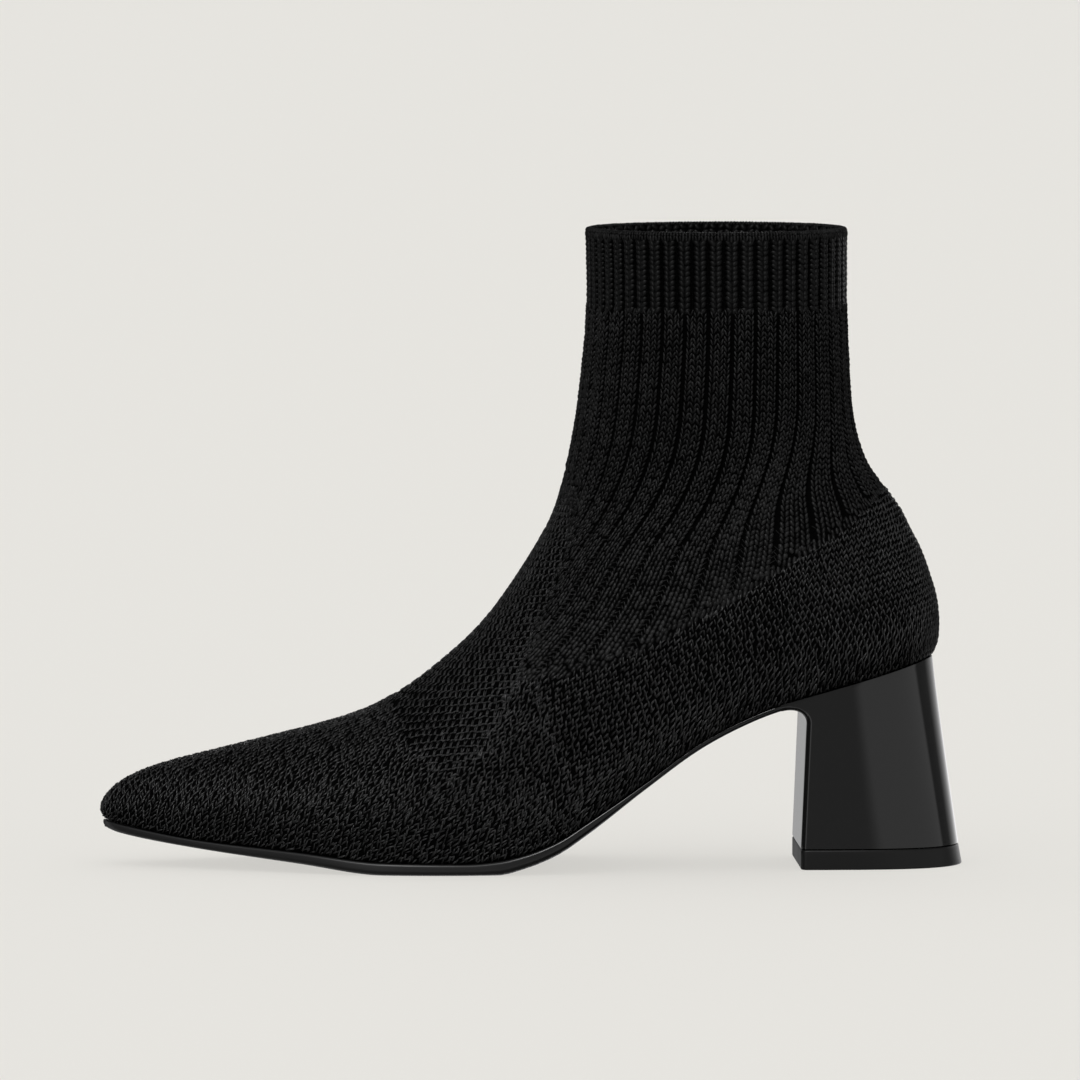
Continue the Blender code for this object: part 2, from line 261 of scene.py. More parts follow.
# Upper, a row per ring from the sole edge to the collar: ends in side view, then half widths at WIDTH_AT
WIDTH_AT = (0.0, 0.10, 0.20, 0.35, 0.50, 0.60, 0.75, 0.90, 1.0)
UPPER_RINGS = (
    # name       front_x front_z back_x back_z   tip   toe  vamp  ball  waist rear  heel
    ("feather",  -127.8,  13.8, 120.8,  63.0, (17.5, 18.7, 26.4, 38.5, 37.3, 34.4, 61.0)),
    ("welt",     -128.7,  17.4, 122.1,  66.5, (22.0, 20.9, 28.2, 40.0, 38.8, 36.0, 66.0)),
    ("bulge",    -126.4,  21.9, 122.5,  71.0, (21.5, 22.4, 30.2, 40.8, 39.0, 37.5, 68.5)),
    ("toe_box",  -120.3,  26.4, 122.4,  75.5, (20.5, 22.4, 30.4, 39.9, 38.0, 38.6, 68.5)),
    ("toe_top",  -109.0,  30.8, 121.7,  80.5, (20.0, 21.4, 29.6, 38.5, 36.4, 39.4, 67.0)),
    ("vamp",      -87.3,  36.3, 120.1,  86.0, (20.5, 21.8, 29.6, 36.8, 35.0, 39.7, 62.5)),
    ("vamp_top",  -57.3,  44.1, 117.3,  93.9, (22.0, 23.6, 30.4, 34.8, 33.4, 39.4, 54.5)),
    ("throat",    -42.3,  50.5, 114.0, 100.5, (24.0, 25.4, 30.8, 33.2, 32.8, 38.6, 47.5)),
    ("instep",    -27.3,  61.2, 110.4, 107.4, (25.5, 27.0, 30.4, 32.2, 32.4, 37.2, 41.0)),
    ("bend",      -12.3,  75.8, 106.0, 113.5, (27.0, 28.0, 30.0, 31.4, 32.0, 35.4, 36.0)),
    ("ankle",       2.7,  98.1, 100.8, 120.9, (29.0, 29.2, 30.2, 31.2, 31.8, 33.6, 33.0)),
    ("shin",        8.7, 111.9,  98.0, 128.5, (30.2, 30.2, 30.8, 31.5, 31.9, 32.8, 32.2)),
    ("shaft_low",  12.9, 129.9,  96.2, 138.0, (31.3, 31.3, 31.7, 32.2, 32.4, 32.7, 32.4)),
    ("shaft",      15.3, 147.9,  95.4, 150.0, (32.6, 32.6, 32.8, 33.2, 33.3, 33.4, 33.2)),
    ("cuff_foot",  16.8, 166.0,  94.8, 166.0, (34.0, 34.0, 34.0, 34.2, 34.2, 34.2, 34.0)),
    ("collar",     16.5, 190.8,  94.8, 190.8, (35.0, 35.0, 35.0, 35.0, 35.0, 35.0, 35.0)),
)
LAST_RING = len(UPPER_RINGS) - 1
RING_AT = np.arange(LAST_RING + 1.0)
FRONT = np.array([row[1:3] for row in UPPER_RINGS])
BACK = np.array([row[3:5] for row in UPPER_RINGS])
WIDTHS = np.array([(row[5][0],) + row[5] + (row[5][-1],) for row in UPPER_RINGS])

# Sole in side view, a row per station from toe to heel: ground side and top edge
SOLE_STATIONS = np.array((
    # x        tread_z feather_z
    (-127.8,   11.4,   13.8),
    (-123.0,    9.8,   12.7),
    (-99.0,     6.1,    8.9),
    (-69.0,     2.7,    6.4),
    (-45.0,     0.0,    4.1),
    (-20.0,     0.0,    3.8),
    (-11.0,     0.0,    4.6),
    (-2.5,      2.0,    6.6),
    (6.6,       5.7,   10.2),
    (16.0,     11.9,   16.0),
    (32.7,     24.6,   26.9),
    (50.7,     37.0,   39.4),
    (65.0,     44.0,   46.4),
    (73.5,     47.2,   49.6),
    (120.8,    60.5,   63.0),
))
SEAT_FRONT_Z = SOLE_STATIONS[-2, 2]
SEAT_SLOPE = (SOLE_STATIONS[-1, 2] - SEAT_FRONT_Z) / (SOLE_STATIONS[-1, 0] - SOLE_STATIONS[-2, 0])

# Plan swing of the last, toward the inner side of the foot when positive
SWING_X = (-128.0, -100.0, -75.0, -40.0, 0.0, 45.0, 85.0, 120.0)
SWING_Y = (6.0, 4.8, 3.0, 0.2, -2.2, -2.4, -0.4, 0.0)

# Where the ribs stop: above the heel pocket and foot, and behind the open mesh of the instep
RIB_END_X = (-60.0, 0.0, 26.7, 50.7, 80.7, 96.6, 106.0, 125.0)
RIB_END_Z = (50.0, 58.0, 64.0, 76.0, 94.0, 104.4, 112.5, 124.0)
NET_EDGE_Z = (30.0, 49.0, 64.0, 79.0, 94.0, 106.0, 117.0, 126.0)
NET_EDGE_X = (-22.0, -8.7, -2.7, 4.0, 9.5, 12.0, 11.0, -10.0)
NET_TOE_X = (-43.0, -40.0, -32.0, -18.0, -5.0)
NET_TOE_Z = (56.0, 44.0, 34.0, 29.0, 28.0)

# Width of the borders about those lines, in millimetres, and how far they stray
RIBS_OVER = (-1.0, 6.0)
RIBS_BEHIND = (-1.0, 3.0)
NET_OVER = (-3.0, 3.0)
NET_BEFORE = (-4.0, 3.0)
NET_TIP_X = (-46.0, -41.0)
NET_FADE = 0.7
NET_FADE_Z = (100.0, 120.0)
POCKET_UNDER = (-1.0, 1.0)
POCKET_FROM_X = (4.0, 14.0)
POCKET_SLANT = 0.35
POCKET_Z = 30.0
BAND_BLEND = 0.3
OWN_SHARE = 0.4
OTHER_SHARE = 0.6
RIB_STRAY = 0.12
ZONE_STRAY = 0.3


def smooth_curve(knots, values, at, flats=False):
    """Smooth value at each place through the knots; flats keeps level runs level."""
    knots = np.asarray(knots, float)
    values = np.asarray(values, float)
    at = np.clip(at, knots[0], knots[-1])
    gaps = np.diff(knots)
    wide = gaps.reshape((-1,) + (1,) * (values.ndim - 1))
    rise = np.diff(values, axis=0) / wide
    slope = np.empty_like(values)
    slope[0], slope[-1] = rise[0], rise[-1]
    before, after = rise[:-1], rise[1:]
    if flats:
        same = before * after > 0
        slope[1:-1] = np.where(same, 2 * before * after / np.where(same, before + after, 1.0), 0.0)
    else:
        slope[1:-1] = (before * wide[1:] + after * wide[:-1]) / (wide[:-1] + wide[1:])
    n = np.clip(np.searchsorted(knots, at, side="right") - 1, 0, len(gaps) - 1)
    s = (at - knots[n]) / gaps[n]
    step = gaps[n]
    if values.ndim > 1:
        s, step = s[:, None], step[:, None]
    left = (1 + 2 * s) * (1 - s) ** 2 * values[n] + s * (1 - s) ** 2 * step * slope[n]
    return left + s * s * (3 - 2 * s) * values[n + 1] + s * s * (s - 1) * step * slope[n + 1]


def ease(low, high, t):
    """Smooth rise from 0 at low to 1 at high."""
    s = np.clip((t - low) / (high - low), 0.0, 1.0)
    return s * s * (3 - 2 * s)


def hump(t, wide):
    """Round bump of height 1 about t = 0."""
    return np.exp(-(t / wide) ** 2)


def arc(start, end, steps):
    """Angles from start to end in degrees."""
    return np.radians(np.linspace(start, end, steps))


def feather_x(u):
    """Length along the sole edge, u 0 at the toe tip and 1 at the heel back."""
    turn = np.pi * u
    return TOE_X + (HEEL_X - TOE_X) * ((1 - np.cos(turn)) / 2 - FORWARD_SKEW * np.sin(turn) ** 2)


FINE_U = np.linspace(0.0, 1.0, 4001)
FINE_X = feather_x(FINE_U)


def feather_u(x):
    """Share u along the sole edge that lies at length x."""
    return np.interp(x, FINE_X, FINE_U)


def feather_z(x):
    return smooth_curve(SOLE_STATIONS[:, 0], SOLE_STATIONS[:, 2], x, flats=True)


def tread_z(x):
    return smooth_curve(SOLE_STATIONS[:, 0], SOLE_STATIONS[:, 1], x, flats=True)


def swing(x, z):
    """Sideways shift of the last, gone above the instep."""
    return smooth_curve(SWING_X, SWING_Y, x) * (1 - ease(50.0, 110.0, z))


lift_low, lift_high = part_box("top_piece")
MIDDLE = -(lift_low[1] + lift_high[1]) / 2 / MM


def upper_skin(u, side, k):
    """Points on the plain outer face of the upper, a row for each ring place and a column for each share."""
    v = (k / LAST_RING)[:, None]
    turn = np.pi * u
    front = ((1 + np.cos(turn)) / 2)[None, :]
    sole_x = feather_x(u)
    sole = (sole_x, feather_z(sole_x))
    top = (COLLAR_BACK_X + (COLLAR_FRONT_X - COLLAR_BACK_X) * front, COLLAR_Z)
    place = []
    for axis in (0, 1):
        lead, tail = (
            smooth_curve(RING_AT, ends[:, axis], k)[:, None] - (1 - v) * ends[0, axis] - v * ends[-1, axis]
            for ends in (FRONT, BACK))
        place.append((1 - v) * sole[axis] + v * top[axis] + front * lead + (1 - front) * tail)
    x, z = place
    rows = np.array([smooth_curve(WIDTH_AT, widths, u) for widths in WIDTHS])
    half = smooth_curve(RING_AT, rows, k) * np.sin(turn)
    return np.stack([x, swing(x, z) + side * half - MIDDLE, z], axis=-1)


def unit(vectors):
    return vectors / np.linalg.norm(vectors, axis=-1, keepdims=True)


def level_with(vectors, normal):
    """Vectors with their part along the normal taken off."""
    return vectors - normal * (vectors * normal).sum(axis=-1, keepdims=True)


def outward(skin):
    """Unit outward directions of a skin whose columns run once round."""
    closed = skin[:, :-1]
    around = np.roll(closed, -1, axis=1) - np.roll(closed, 1, axis=1)
    normal = unit(np.cross(around, np.gradient(closed, axis=0)))
    return np.concatenate([normal, normal[:, :1]], axis=1)


def spaced_rings(count):
    """Ring places spread evenly over the length of the wall."""
    u = np.linspace(0.0, 1.0, RING_SAMPLES)
    rings = upper_skin(u, -np.ones_like(u), RING_AT)
    far = np.linalg.norm(np.diff(rings, axis=0), axis=-1).mean(axis=1)
    return np.interp(np.linspace(0.0, far.sum(), count), np.concatenate([[0.0], far.cumsum()]), RING_AT)


def length_up(points):
    """Length along each column from its first row."""
    far = np.linalg.norm(np.diff(points, axis=0), axis=-1)
    return np.concatenate([np.zeros((1, points.shape[1])), far.cumsum(axis=0)])


def deselect_all():
    for obj in bpy.context.selected_objects:
        obj.select_set(False)


def set_uv(mesh, places):
    """The UV map from a pair of values for each vertex."""
    layer = mesh.uv_layers.get(UV_NAME) or mesh.uv_layers.new(name=UV_NAME)
    corner = np.empty(len(mesh.loops), dtype=np.int32)
    mesh.loops.foreach_get("vertex_index", corner)
    layer.data.foreach_set("uv", places[corner].ravel())


def grid_piece(name, points, uv=None, caps=False, flip=False):
    """A smooth grid with corners at points, its seam merged, and its open ends filled if asked."""
    rows, columns = points.shape[:2]
    deselect_all()
    bpy.ops.mesh.primitive_grid_add(x_subdivisions=columns - 1, y_subdivisions=rows - 1, size=2.0)
    obj = bpy.context.object
    obj.name = name
    mesh = obj.data
    mesh.name = name
    flat = np.empty(len(mesh.vertices) * 3)
    mesh.vertices.foreach_get("co", flat)
    flat = flat.reshape(-1, 3)
    i = np.rint((flat[:, 0] + 1) / 2 * (columns - 1)).astype(int)
    j = np.rint((flat[:, 1] + 1) / 2 * (rows - 1)).astype(int)
    mesh.vertices.foreach_set("co", (points[j, i] * MM).ravel())
    if uv is not None:
        set_uv(mesh, uv[j, i])
    bpy.ops.object.mode_set(mode="EDIT")
    bpy.ops.mesh.select_all(action="SELECT")
    bpy.ops.mesh.remove_doubles(threshold=SEAM_MERGE)
    if caps:
        bpy.ops.mesh.select_all(action="SELECT")
        bpy.ops.mesh.fill_holes(sides=0)
        bpy.ops.mesh.select_all(action="SELECT")
        bpy.ops.mesh.normals_make_consistent(inside=False)
    if flip:
        bpy.ops.mesh.flip_normals()
    bpy.ops.object.mode_set(mode="OBJECT")
    bpy.ops.object.shade_smooth()
    return obj


# Knitted upper: a dark backing with the ribs, heel pocket and rolled rim, and yarn laid over it
def knit_zones(x, z):
    """Height over the rib ends, and shares of ribbed cloth, open instep net and heel pocket at each place."""
    above = z - smooth_curve(RIB_END_X, RIB_END_Z, x)
    behind_net = x - smooth_curve(NET_EDGE_Z, NET_EDGE_X, z)
    ribbed = ease(*RIBS_OVER, above) * ease(*RIBS_BEHIND, behind_net)
    over_toe = z - smooth_curve(NET_TOE_X, NET_TOE_Z, x)
    net = ease(*NET_OVER, over_toe) * ease(*NET_TIP_X, x) * (1 - ease(*NET_BEFORE, behind_net))
    net = net * (1 - NET_FADE * ease(*NET_FADE_Z, z))
    pocket = ease(*POCKET_FROM_X, x + POCKET_SLANT * (z - POCKET_Z)) * (1 - ease(*POCKET_UNDER, above))
    return above, ribbed, net, pocket


def rib_relief(wale, period, groove_at, deep):
    """Height across one rib, level on the crest with a deep groove."""
    place = np.mod(wale - groove_at + period / 2, period) - period / 2
    return RIB_CREST - deep * hump(place, GROOVE_WIDE)


def around_shares(count):
    """Share along the sole edge and side of the boot for columns once round, the outer side first."""
    turn = 2.0 * np.arange(count + 1) / count
    return np.where(turn <= 1.0, turn, 2.0 - turn), np.where(turn <= 1.0, -1.0, 1.0)


def stand_up(skin, k):
    """Slides the columns round the shaft so that its ribs stand upright and lean only at the ankle."""
    half = COLUMNS // 2
    hold = ease(*UPRIGHT_RINGS, k)
    share = skin[:, :half + 1, 0] - skin[:, :1, 0]
    share = share / share[:, -1:]
    moved = skin.copy()
    for j in np.flatnonzero(hold):
        at = np.interp(share[j] + hold[j] * (share[-1] - share[j]), share[j], np.arange(half + 1.0))
        near = np.minimum(at.astype(int), half - 1)
        part = (at - near)[:, None]
        moved[j, :half + 1] = skin[j, near] * (1 - part) + skin[j, near + 1] * part
        moved[j, half:] = (skin[j, COLUMNS - near] * (1 - part) + skin[j, COLUMNS - near - 1] * part)[::-1]
    return moved


def knit_surface():
    """Points of the knit from the sole edge up, over the rim and down inside, and length up each column."""
    u, side = around_shares(COLUMNS)
    k = spaced_rings(UPPER_ROWS)
    skin = stand_up(upper_skin(u, side, k), k)
    normal = outward(skin)
    x, z = skin[..., 0], skin[..., 2]
    kk = np.repeat(k[:, None], COLUMNS + 1, axis=1)
    wale = np.arange(COLUMNS + 1) / WALE_COLUMNS

    above, ribbed = knit_zones(x, z)[:2]
    in_cuff = ease(*CUFF_START, kk)
    cuff = rib_relief(wale, CUFF_RIB, CUFF_GROOVE, CUFF_DEEP)
    at_rim = RIM_FILL * ease(RIM_Z - RIM_BLEND, RIM_Z + RIM_BLEND, z)
    ribs = rib_relief(wale, SHAFT_RIB, SHAFT_GROOVE, SHAFT_DEEP) * (1 - in_cuff)
    ribs = ribs + (cuff * (1 - at_rim) + RIB_CREST * at_rim) * in_cuff
    heel_side = ease(*HEEL_SIDE_X, x) * ease(*HEEL_SIDE_RINGS, kk)
    step = POCKET_STEP * heel_side * (0.5 - ease(*POCKET_UNDER, above)) * (1 - ease(*STEP_FADE, above))
    groove = SEAM_DEEP * hump(above - SEAM_DEEP_AT, SEAM_DEEP_WIDE) * (1 - ease(*SEAM_END_X, x))
    seam = heel_side * (SEAM_HIGH * hump(above - SEAM_HIGH_AT, SEAM_HIGH_WIDE) - groove)
    deep = ANKLE_DEEP + (1 - ANKLE_DEEP) * ease(*V_KNIT_Z, z)
    high = ribs * deep * ribbed + step + seam - BACKING_SINK
    outer = skin + normal * high[..., None]
    outer[..., 2] -= RIM_ROLL * ease(LAST_RING - ROLL_RINGS, LAST_RING, kk)

    # The lower edge turns in under the wall, and the rim rolls over and runs down inside
    flat = unit(normal * np.array([1.0, 1.0, 0.0]))
    tuck = outer[:1] - flat[:1] * EDGE_IN - np.array([0.0, 0.0, EDGE_DOWN])
    top = outer[-1:]
    rise = np.array([0.0, 0.0, RIM_ROLL])
    turns = arc(0, 180, ROLL_STEPS)[1:]
    roll = [top - flat[-1:] * RIM_ROLL * (1 - math.cos(a)) + rise * math.sin(a) for a in turns]
    depth = np.linspace(0.0, RIM_INSIDE, INSIDE_ROWS)[1:]
    inside_k = np.interp(COLLAR_Z - depth, [COLLAR_Z - CUFF_HIGH, COLLAR_Z], [CUFF_RING, LAST_RING])
    within = upper_skin(u, side, inside_k)
    sink = 2 * RIM_ROLL + BACKING_SINK - INSIDE_RELIEF * cuff[None, :, None]
    within = within + outward(within) * sink
    within[..., 2] -= RIM_ROLL
    points = np.concatenate([tuck, outer] + roll + [within])
    up = length_up(np.concatenate([skin[:1], skin] + roll + [within]))
    return points, up, len(outer)


def on_knit(table, column, row):
    """Values of a table of the knit surface at fractional columns and rows."""
    column = np.mod(column, COLUMNS)
    row = np.clip(row, 0.0, table.shape[0] - 1.001)
    c, r = np.minimum(np.floor(column).astype(int), COLUMNS - 1), np.floor(row).astype(int)
    f, g = (column - c)[..., None], (row - r)[..., None]
    low = table[r, c] * (1 - f) + table[r, c + 1] * f
    high = table[r + 1, c] * (1 - f) + table[r + 1, c + 1] * f
    return low * (1 - g) + high * g


def spans_at(table, column, row):
    """Change of a table over one column and over one row at each place."""
    ahead = on_knit(table, column + 0.5, row) - on_knit(table, column - 0.5, row)
    rise = on_knit(table, column, row + 0.5) - on_knit(table, column, row - 0.5)
    return ahead, rise


def products(ahead, rise):
    """Squares of the two spans, their product, and the square of the patch between them."""
    aa, rr, ar = (ahead ** 2).sum(-1), (rise ** 2).sum(-1), (ahead * rise).sum(-1)
    return aa, rr, ar, np.maximum(aa * rr - ar ** 2, LEAST_PATCH)


def rows_at(field, column, level):
    """Row at which a field that grows up each column reaches each level."""
    near = np.mod(np.rint(column).astype(int), COLUMNS)
    row = np.empty(len(column))
    steps = np.arange(field.shape[0])
    for c in np.unique(near):
        mine = near == c
        row[mine] = np.interp(level[mine], field[:, c], steps)
    return row


def level_line(field, columns, level):
    """Rows at which a field reaches a level, and the length along that line from the first column."""
    row = rows_at(field, columns, np.full(len(columns), level))
    line = on_knit(knit_points, columns, row)
    return row, np.concatenate([[0.0], np.linalg.norm(np.diff(line, axis=0), axis=-1).cumsum()])


def sites_along(field, levels, columns, start, pitch, stagger):
    """Columns and rows spaced evenly along level lines of a field, counted from the start column."""
    found = []
    for n, level in enumerate(levels):
        row, far = level_line(field, columns, level)
        zero = np.interp(start, columns, far) + stagger * pitch * n
        count = np.arange(math.ceil((far[0] - zero) / pitch), math.floor((far[-1] - zero) / pitch) + 1)
        column = np.interp(zero + count * pitch, far, columns)
        found.append(np.stack([column, np.interp(column, columns, row)]))
    return np.concatenate(found, axis=1)


def model_yarn(segments, rings):
    """One short length of yarn with round ends and a flat underside: corners and faces."""
    deselect_all()
    bpy.ops.mesh.primitive_uv_sphere_add(segments=segments, ring_count=rings, radius=1.0)
    mesh = bpy.context.object.data
    corners = np.array([v.co for v in mesh.vertices])
    faces = [list(face.vertices) for face in mesh.polygons]
    bpy.data.meshes.remove(mesh)
    thick = np.hypot(corners[:, 0], corners[:, 1])
    first = corners[np.argmax(thick)]
    turn = math.pi / 2 - math.atan2(first[1], first[0]) + np.arctan2(corners[:, 1], corners[:, 0])
    blunt = np.where(thick > YARN_POLE, np.sqrt(thick), 0.0)
    corners[:, 0] = blunt * np.cos(turn) / np.abs(np.cos(turn)).max()
    up = blunt * np.sin(turn)
    corners[:, 1] = np.where(up > 0, up, YARN_UNDER * up)
    return corners, faces


def copies_of(name, points, faces, tones):
    """A smooth mesh of many copies of the same faces, a row of points and a tone for each copy."""
    count, size = points.shape[:2]
    sides = np.tile([len(face) for face in faces], count)
    corners = (np.arange(count)[:, None] * size + np.concatenate(faces)[None, :]).ravel()
    mesh = bpy.data.meshes.new(name)
    mesh.vertices.add(count * size)
    mesh.vertices.foreach_set("co", (points * MM).ravel())
    mesh.loops.add(len(corners))
    mesh.loops.foreach_set("vertex_index", corners.astype(np.int32))
    mesh.polygons.add(len(sides))
    mesh.polygons.foreach_set("loop_start", (sides.cumsum() - sides).astype(np.int32))
    mesh.polygons.foreach_set("loop_total", sides.astype(np.int32))
    mesh.polygons.foreach_set("use_smooth", np.ones(len(sides), dtype=bool))
    mesh.update(calc_edges=True)
    mesh.validate()
    tone = mesh.attributes.new("yarn_tone", "FLOAT", "POINT")
    tone.data.foreach_set("value", np.repeat(tones, size).astype(np.float32))
    obj = bpy.data.objects.new(name, mesh)
    bpy.context.scene.collection.objects.link(obj)
    return obj


def lay_yarn(name, shape, column, row, angle, length, wide, high, shift=(0.0, 0.0), along_wale=False,
             bend=0.0, dip=0.0, lightest=1.0):
    """Copies of the yarn bent over the knit, each at its place and angle, in millimetres and degrees."""
    corners, faces = shape
    count, size = len(column), len(corners)

    def each(value):
        return np.broadcast_to(value, count)[:, None]

    normal = unit(on_knit(knit_normals, column, row))
    ahead, rise = spans_at(knit_points, column, row)
    if along_wale:
        second = unit(level_with(rise, normal))
        first = np.cross(second, normal)
        lie = np.radians(each(angle))
    else:
        inner = np.mod(column, COLUMNS) > BACK_COLUMN
        level = np.zeros_like(ahead)
        level[:, 0] = np.where(inner, -1.0, 1.0)
        level = level_with(level, normal)
        facing = ease(*SIDE_FACING, np.linalg.norm(level, axis=-1))[:, None]
        first = unit(level_with(unit(ahead) * (1 - facing) + level * facing, normal))
        second = np.cross(normal, first)
        lie = np.radians(np.where(inner, 180.0 - angle, angle))[:, None]

    t = corners[None, :, 2]
    along = t * each(length) / 2
    across = each(bend) * (1 - t * t) + corners[None, :, 0] * each(wide) / 2
    a = along * np.cos(lie) - across * np.sin(lie) + each(shift[0])
    b = along * np.sin(lie) + across * np.cos(lie) + each(shift[1])
    move = a[..., None] * first[:, None] + b[..., None] * second[:, None]

    aa, rr, ar, patch = (values[:, None] for values in products(ahead, rise))
    over, climb = (move * ahead[:, None]).sum(-1), (move * rise[:, None]).sum(-1)
    c = column[:, None] + (over * rr - climb * ar) / patch
    steps = (climb * aa - over * ar) / patch
    if along_wale:
        near = np.rint(column)
        reach = on_knit(up_length[..., None], near, row) + steps * np.sqrt(rr)
        r = rows_at(up_length, np.repeat(near, size), reach.ravel()).reshape(count, size)
    else:
        r = row[:, None] + steps
    lift = corners[None, :, 1] * each(high) - each(dip) * t * t
    points = on_knit(knit_points, c, r) + on_knit(knit_normals, c, r) * lift[..., None]
    return copies_of(name, points, faces, rng.uniform(0.0, lightest, count))


def shake(count, spread):
    return rng.uniform(-spread, spread, count)


def draw(count, limits):
    return rng.uniform(*limits, count)


def lean_by(leg, lean):
    """Lean to one side for even legs and to the other for odd ones."""
    return np.where(leg % 2 == 0, lean, -lean)


def in_zone(column, row, stray, kind):
    """Whether each place has one kind of knit, whose borders stray and overlap a little, and the place."""
    place = on_knit(knit_points, column, row)
    above, ribbed, net, pocket = knit_zones(place[:, 0], place[:, 2])
    off = shake(len(column), stray)
    shares = {RIBS: ribbed, NET: net, POCKET: pocket, BAND: 0.5 + BAND_BLEND * above}
    kinds = [shares[other] + off > (OWN_SHARE if other == kind else OTHER_SHARE) for other in shares]
    return np.select(kinds, list(shares), TOE) == kind, place


def wale_size(column, row):
    """Width of one rib unit at each place, in millimetres."""
    half = WALE_COLUMNS / 2
    step = on_knit(knit_points, column + half, row) - on_knit(knit_points, column - half, row)
    return np.linalg.norm(step, axis=-1)


def leg_size(column, row):
    """Room for a rib unit's legs, double where the units crowd and every other leg is left out."""
    size = wale_size(column, row)
    return np.where(size < CROWDED_WALE, 2.0 * size, size)


def rib_sites(units, period, courses, kind, sides=BOTH_SIDES):
    """Columns, rows, legs and heights at units in each rib, in courses counted down from the rim."""
    ribs = np.arange(WALES // period) * period
    rib, leg, course = np.meshgrid(ribs, np.arange(len(units)), np.arange(*courses), indexing="ij")
    column = ((rib + np.array(units)[leg]) * WALE_COLUMNS).ravel()
    row = rows_at(up_length - up_length[collar_row], column, -(course.ravel() + 0.5) * COURSE)
    inside, place = in_zone(column, row, RIB_STRAY, kind)
    side = np.where(column < BACK_COLUMN, OUTER, INNER)
    leg = leg.ravel()
    roomy = (leg % 2 == 0) | (wale_size(column, row) >= CROWDED_WALE)
    keep = inside & roomy & np.isin(side, sides)
    return column[keep], row[keep] + shake(keep.sum(), RIB_STRAY), leg[keep], place[keep, 2]


def lay_cuff():
    """Broad legs of the cuff's single wales, two to a V, inside the rim and outside below it."""
    spans = ((-RIM_COURSES, RIM_SPAN[0]), (RIM_SPAN[1], CUFF_COURSES))
    sites = [rib_sites(CUFF_LEGS, CUFF_RIB, span, RIBS) for span in spans]
    column, row, leg = (np.concatenate(values) for values in list(zip(*sites))[:3])
    n = len(column)
    angle = 90 + lean_by(leg, CUFF_LEAN) + shake(n, 5.0)
    wide = CUFF_WIDE * wale_size(column, row) * draw(n, (0.94, 1.06))
    high = draw(n, CUFF_THICK)
    return lay_yarn("cuff_stitches", loop, column, row, angle, draw(n, CUFF_LONG), wide, high,
                    along_wale=True, dip=0.16, lightest=0.25)


def lay_rim():
    """Fine upright legs side by side over the rolled rim."""
    column, row, leg = rib_sites(RIM_LEGS, CUFF_RIB, RIM_SPAN, RIBS)[:3]
    n = len(column)
    angle = 90 + lean_by(leg, RIM_LEAN) + shake(n, 7.0)
    wide = RIM_WIDE * wale_size(column, row) * draw(n, SIZE_SPREAD)
    length = draw(n, RIM_LONG)
    return lay_yarn("rim_stitches", loop, column, row, angle, length, wide, draw(n, RIM_THICK),
                    along_wale=True, dip=0.14, lightest=0.9)


def lay_shaft(name, side):
    """Legs of the shaft's ribs, upright V's above and long lengths at the ankle."""
    column, row, leg, z = rib_sites(SHAFT_LEGS, SHAFT_RIB, SHAFT_SPAN, RIBS, (side,))
    n = len(column)
    x = on_knit(knit_points, column, row)[:, 0]
    upright = np.maximum(ease(*V_KNIT_Z, z), ease(*V_KNIT_X, x))
    size = leg_size(column, row)
    roomy = np.where(wale_size(column, row) < CROWDED_WALE, 0.0, np.minimum(size / ROOMY_WALE, 1.0))
    lean = SHAFT_LEAN * (ANKLE_LEAN + (1 - ANKLE_LEAN) * upright) * roomy
    angle = 90 + lean_by(leg, lean) + shake(n, 5.0)
    length = SHAFT_LONG * draw(n, SIZE_SPREAD)
    wide = (SHAFT_WIDE - 0.02 * upright) * size * draw(n, SIZE_SPREAD)
    high = draw(n, SHAFT_THICK)
    wale = (column / WALE_COLUMNS // SHAFT_RIB * SHAFT_RIB + leg // 2).astype(int)
    row = row + rng.uniform(0.0, 1.0, WALES + 1)[wale] + shake(n, 0.1 + 0.1 * (1 - upright))
    # The lightest yarn tone rises toward the ankle: painted highlight on the legs there
    return lay_yarn(name, stitch, column, row, angle, length, wide, high, along_wale=True, dip=0.2,
                    lightest=1.5 - 0.45 * upright)


def lay_purl():
    """Small purl bars stacked in the ankle's grooves, their yarn painted near black as shade in the grooves.
    """
    column, row, leg, z = rib_sites(PURL_BEADS, SHAFT_RIB, SHAFT_SPAN, RIBS)
    keep = (z + shake(len(z), 8.0) < PURL_TOP) & (wale_size(column, row) >= CROWDED_WALE)
    column, row, leg, z = column[keep], row[keep], leg[keep], z[keep]
    n = len(column)
    small = 1 - 0.3 * ease(PURL_TOP - 20.0, PURL_TOP, z)
    angle = lean_by(leg, PURL_LEAN) + shake(n, 10.0)
    length = PURL_LONG * wale_size(column, row) * draw(n, SIZE_SPREAD)
    # lightest=0.1 keeps these bars near black: painted shade deep in the grooves
    return lay_yarn("purl_beads", stitch, column, row, angle, length, PURL_WIDE * small, PURL_THICK * small,
                    along_wale=True, lightest=0.1)


def lay_band():
    """Long slanting lengths where the ribs run out beside the net and above the heel pocket."""
    column, row = rib_sites(BAND_LEGS, SHAFT_RIB, BAND_SPAN, BAND)[:2]
    n = len(column)
    length = draw(n, BAND_LONG)
    wide = BAND_WIDE * leg_size(column, row) * draw(n, (0.88, 1.15))
    row = row + shake(n, 0.5)
    angle = 90 + shake(n, 9.0)
    high = draw(n, BAND_THICK)
    return lay_yarn("band_stitches", stitch, column, row, angle, length, wide, high, along_wale=True,
                    bend=shake(n, 0.12), dip=0.18, lightest=0.8)


def slope_of(field, column, row):
    """How fast a field changes over the knit at each place, per millimetre."""
    table = np.concatenate([knit_points[:len(field)], field[..., None]], axis=-1)
    ahead, rise = spans_at(table, column, row)
    over, climb = ahead[:, 3], rise[:, 3]
    aa, rr, ar, patch = products(ahead[:, :3], rise[:, :3])
    return np.sqrt((over ** 2 * rr - 2 * over * climb * ar + climb ** 2 * aa) / patch)


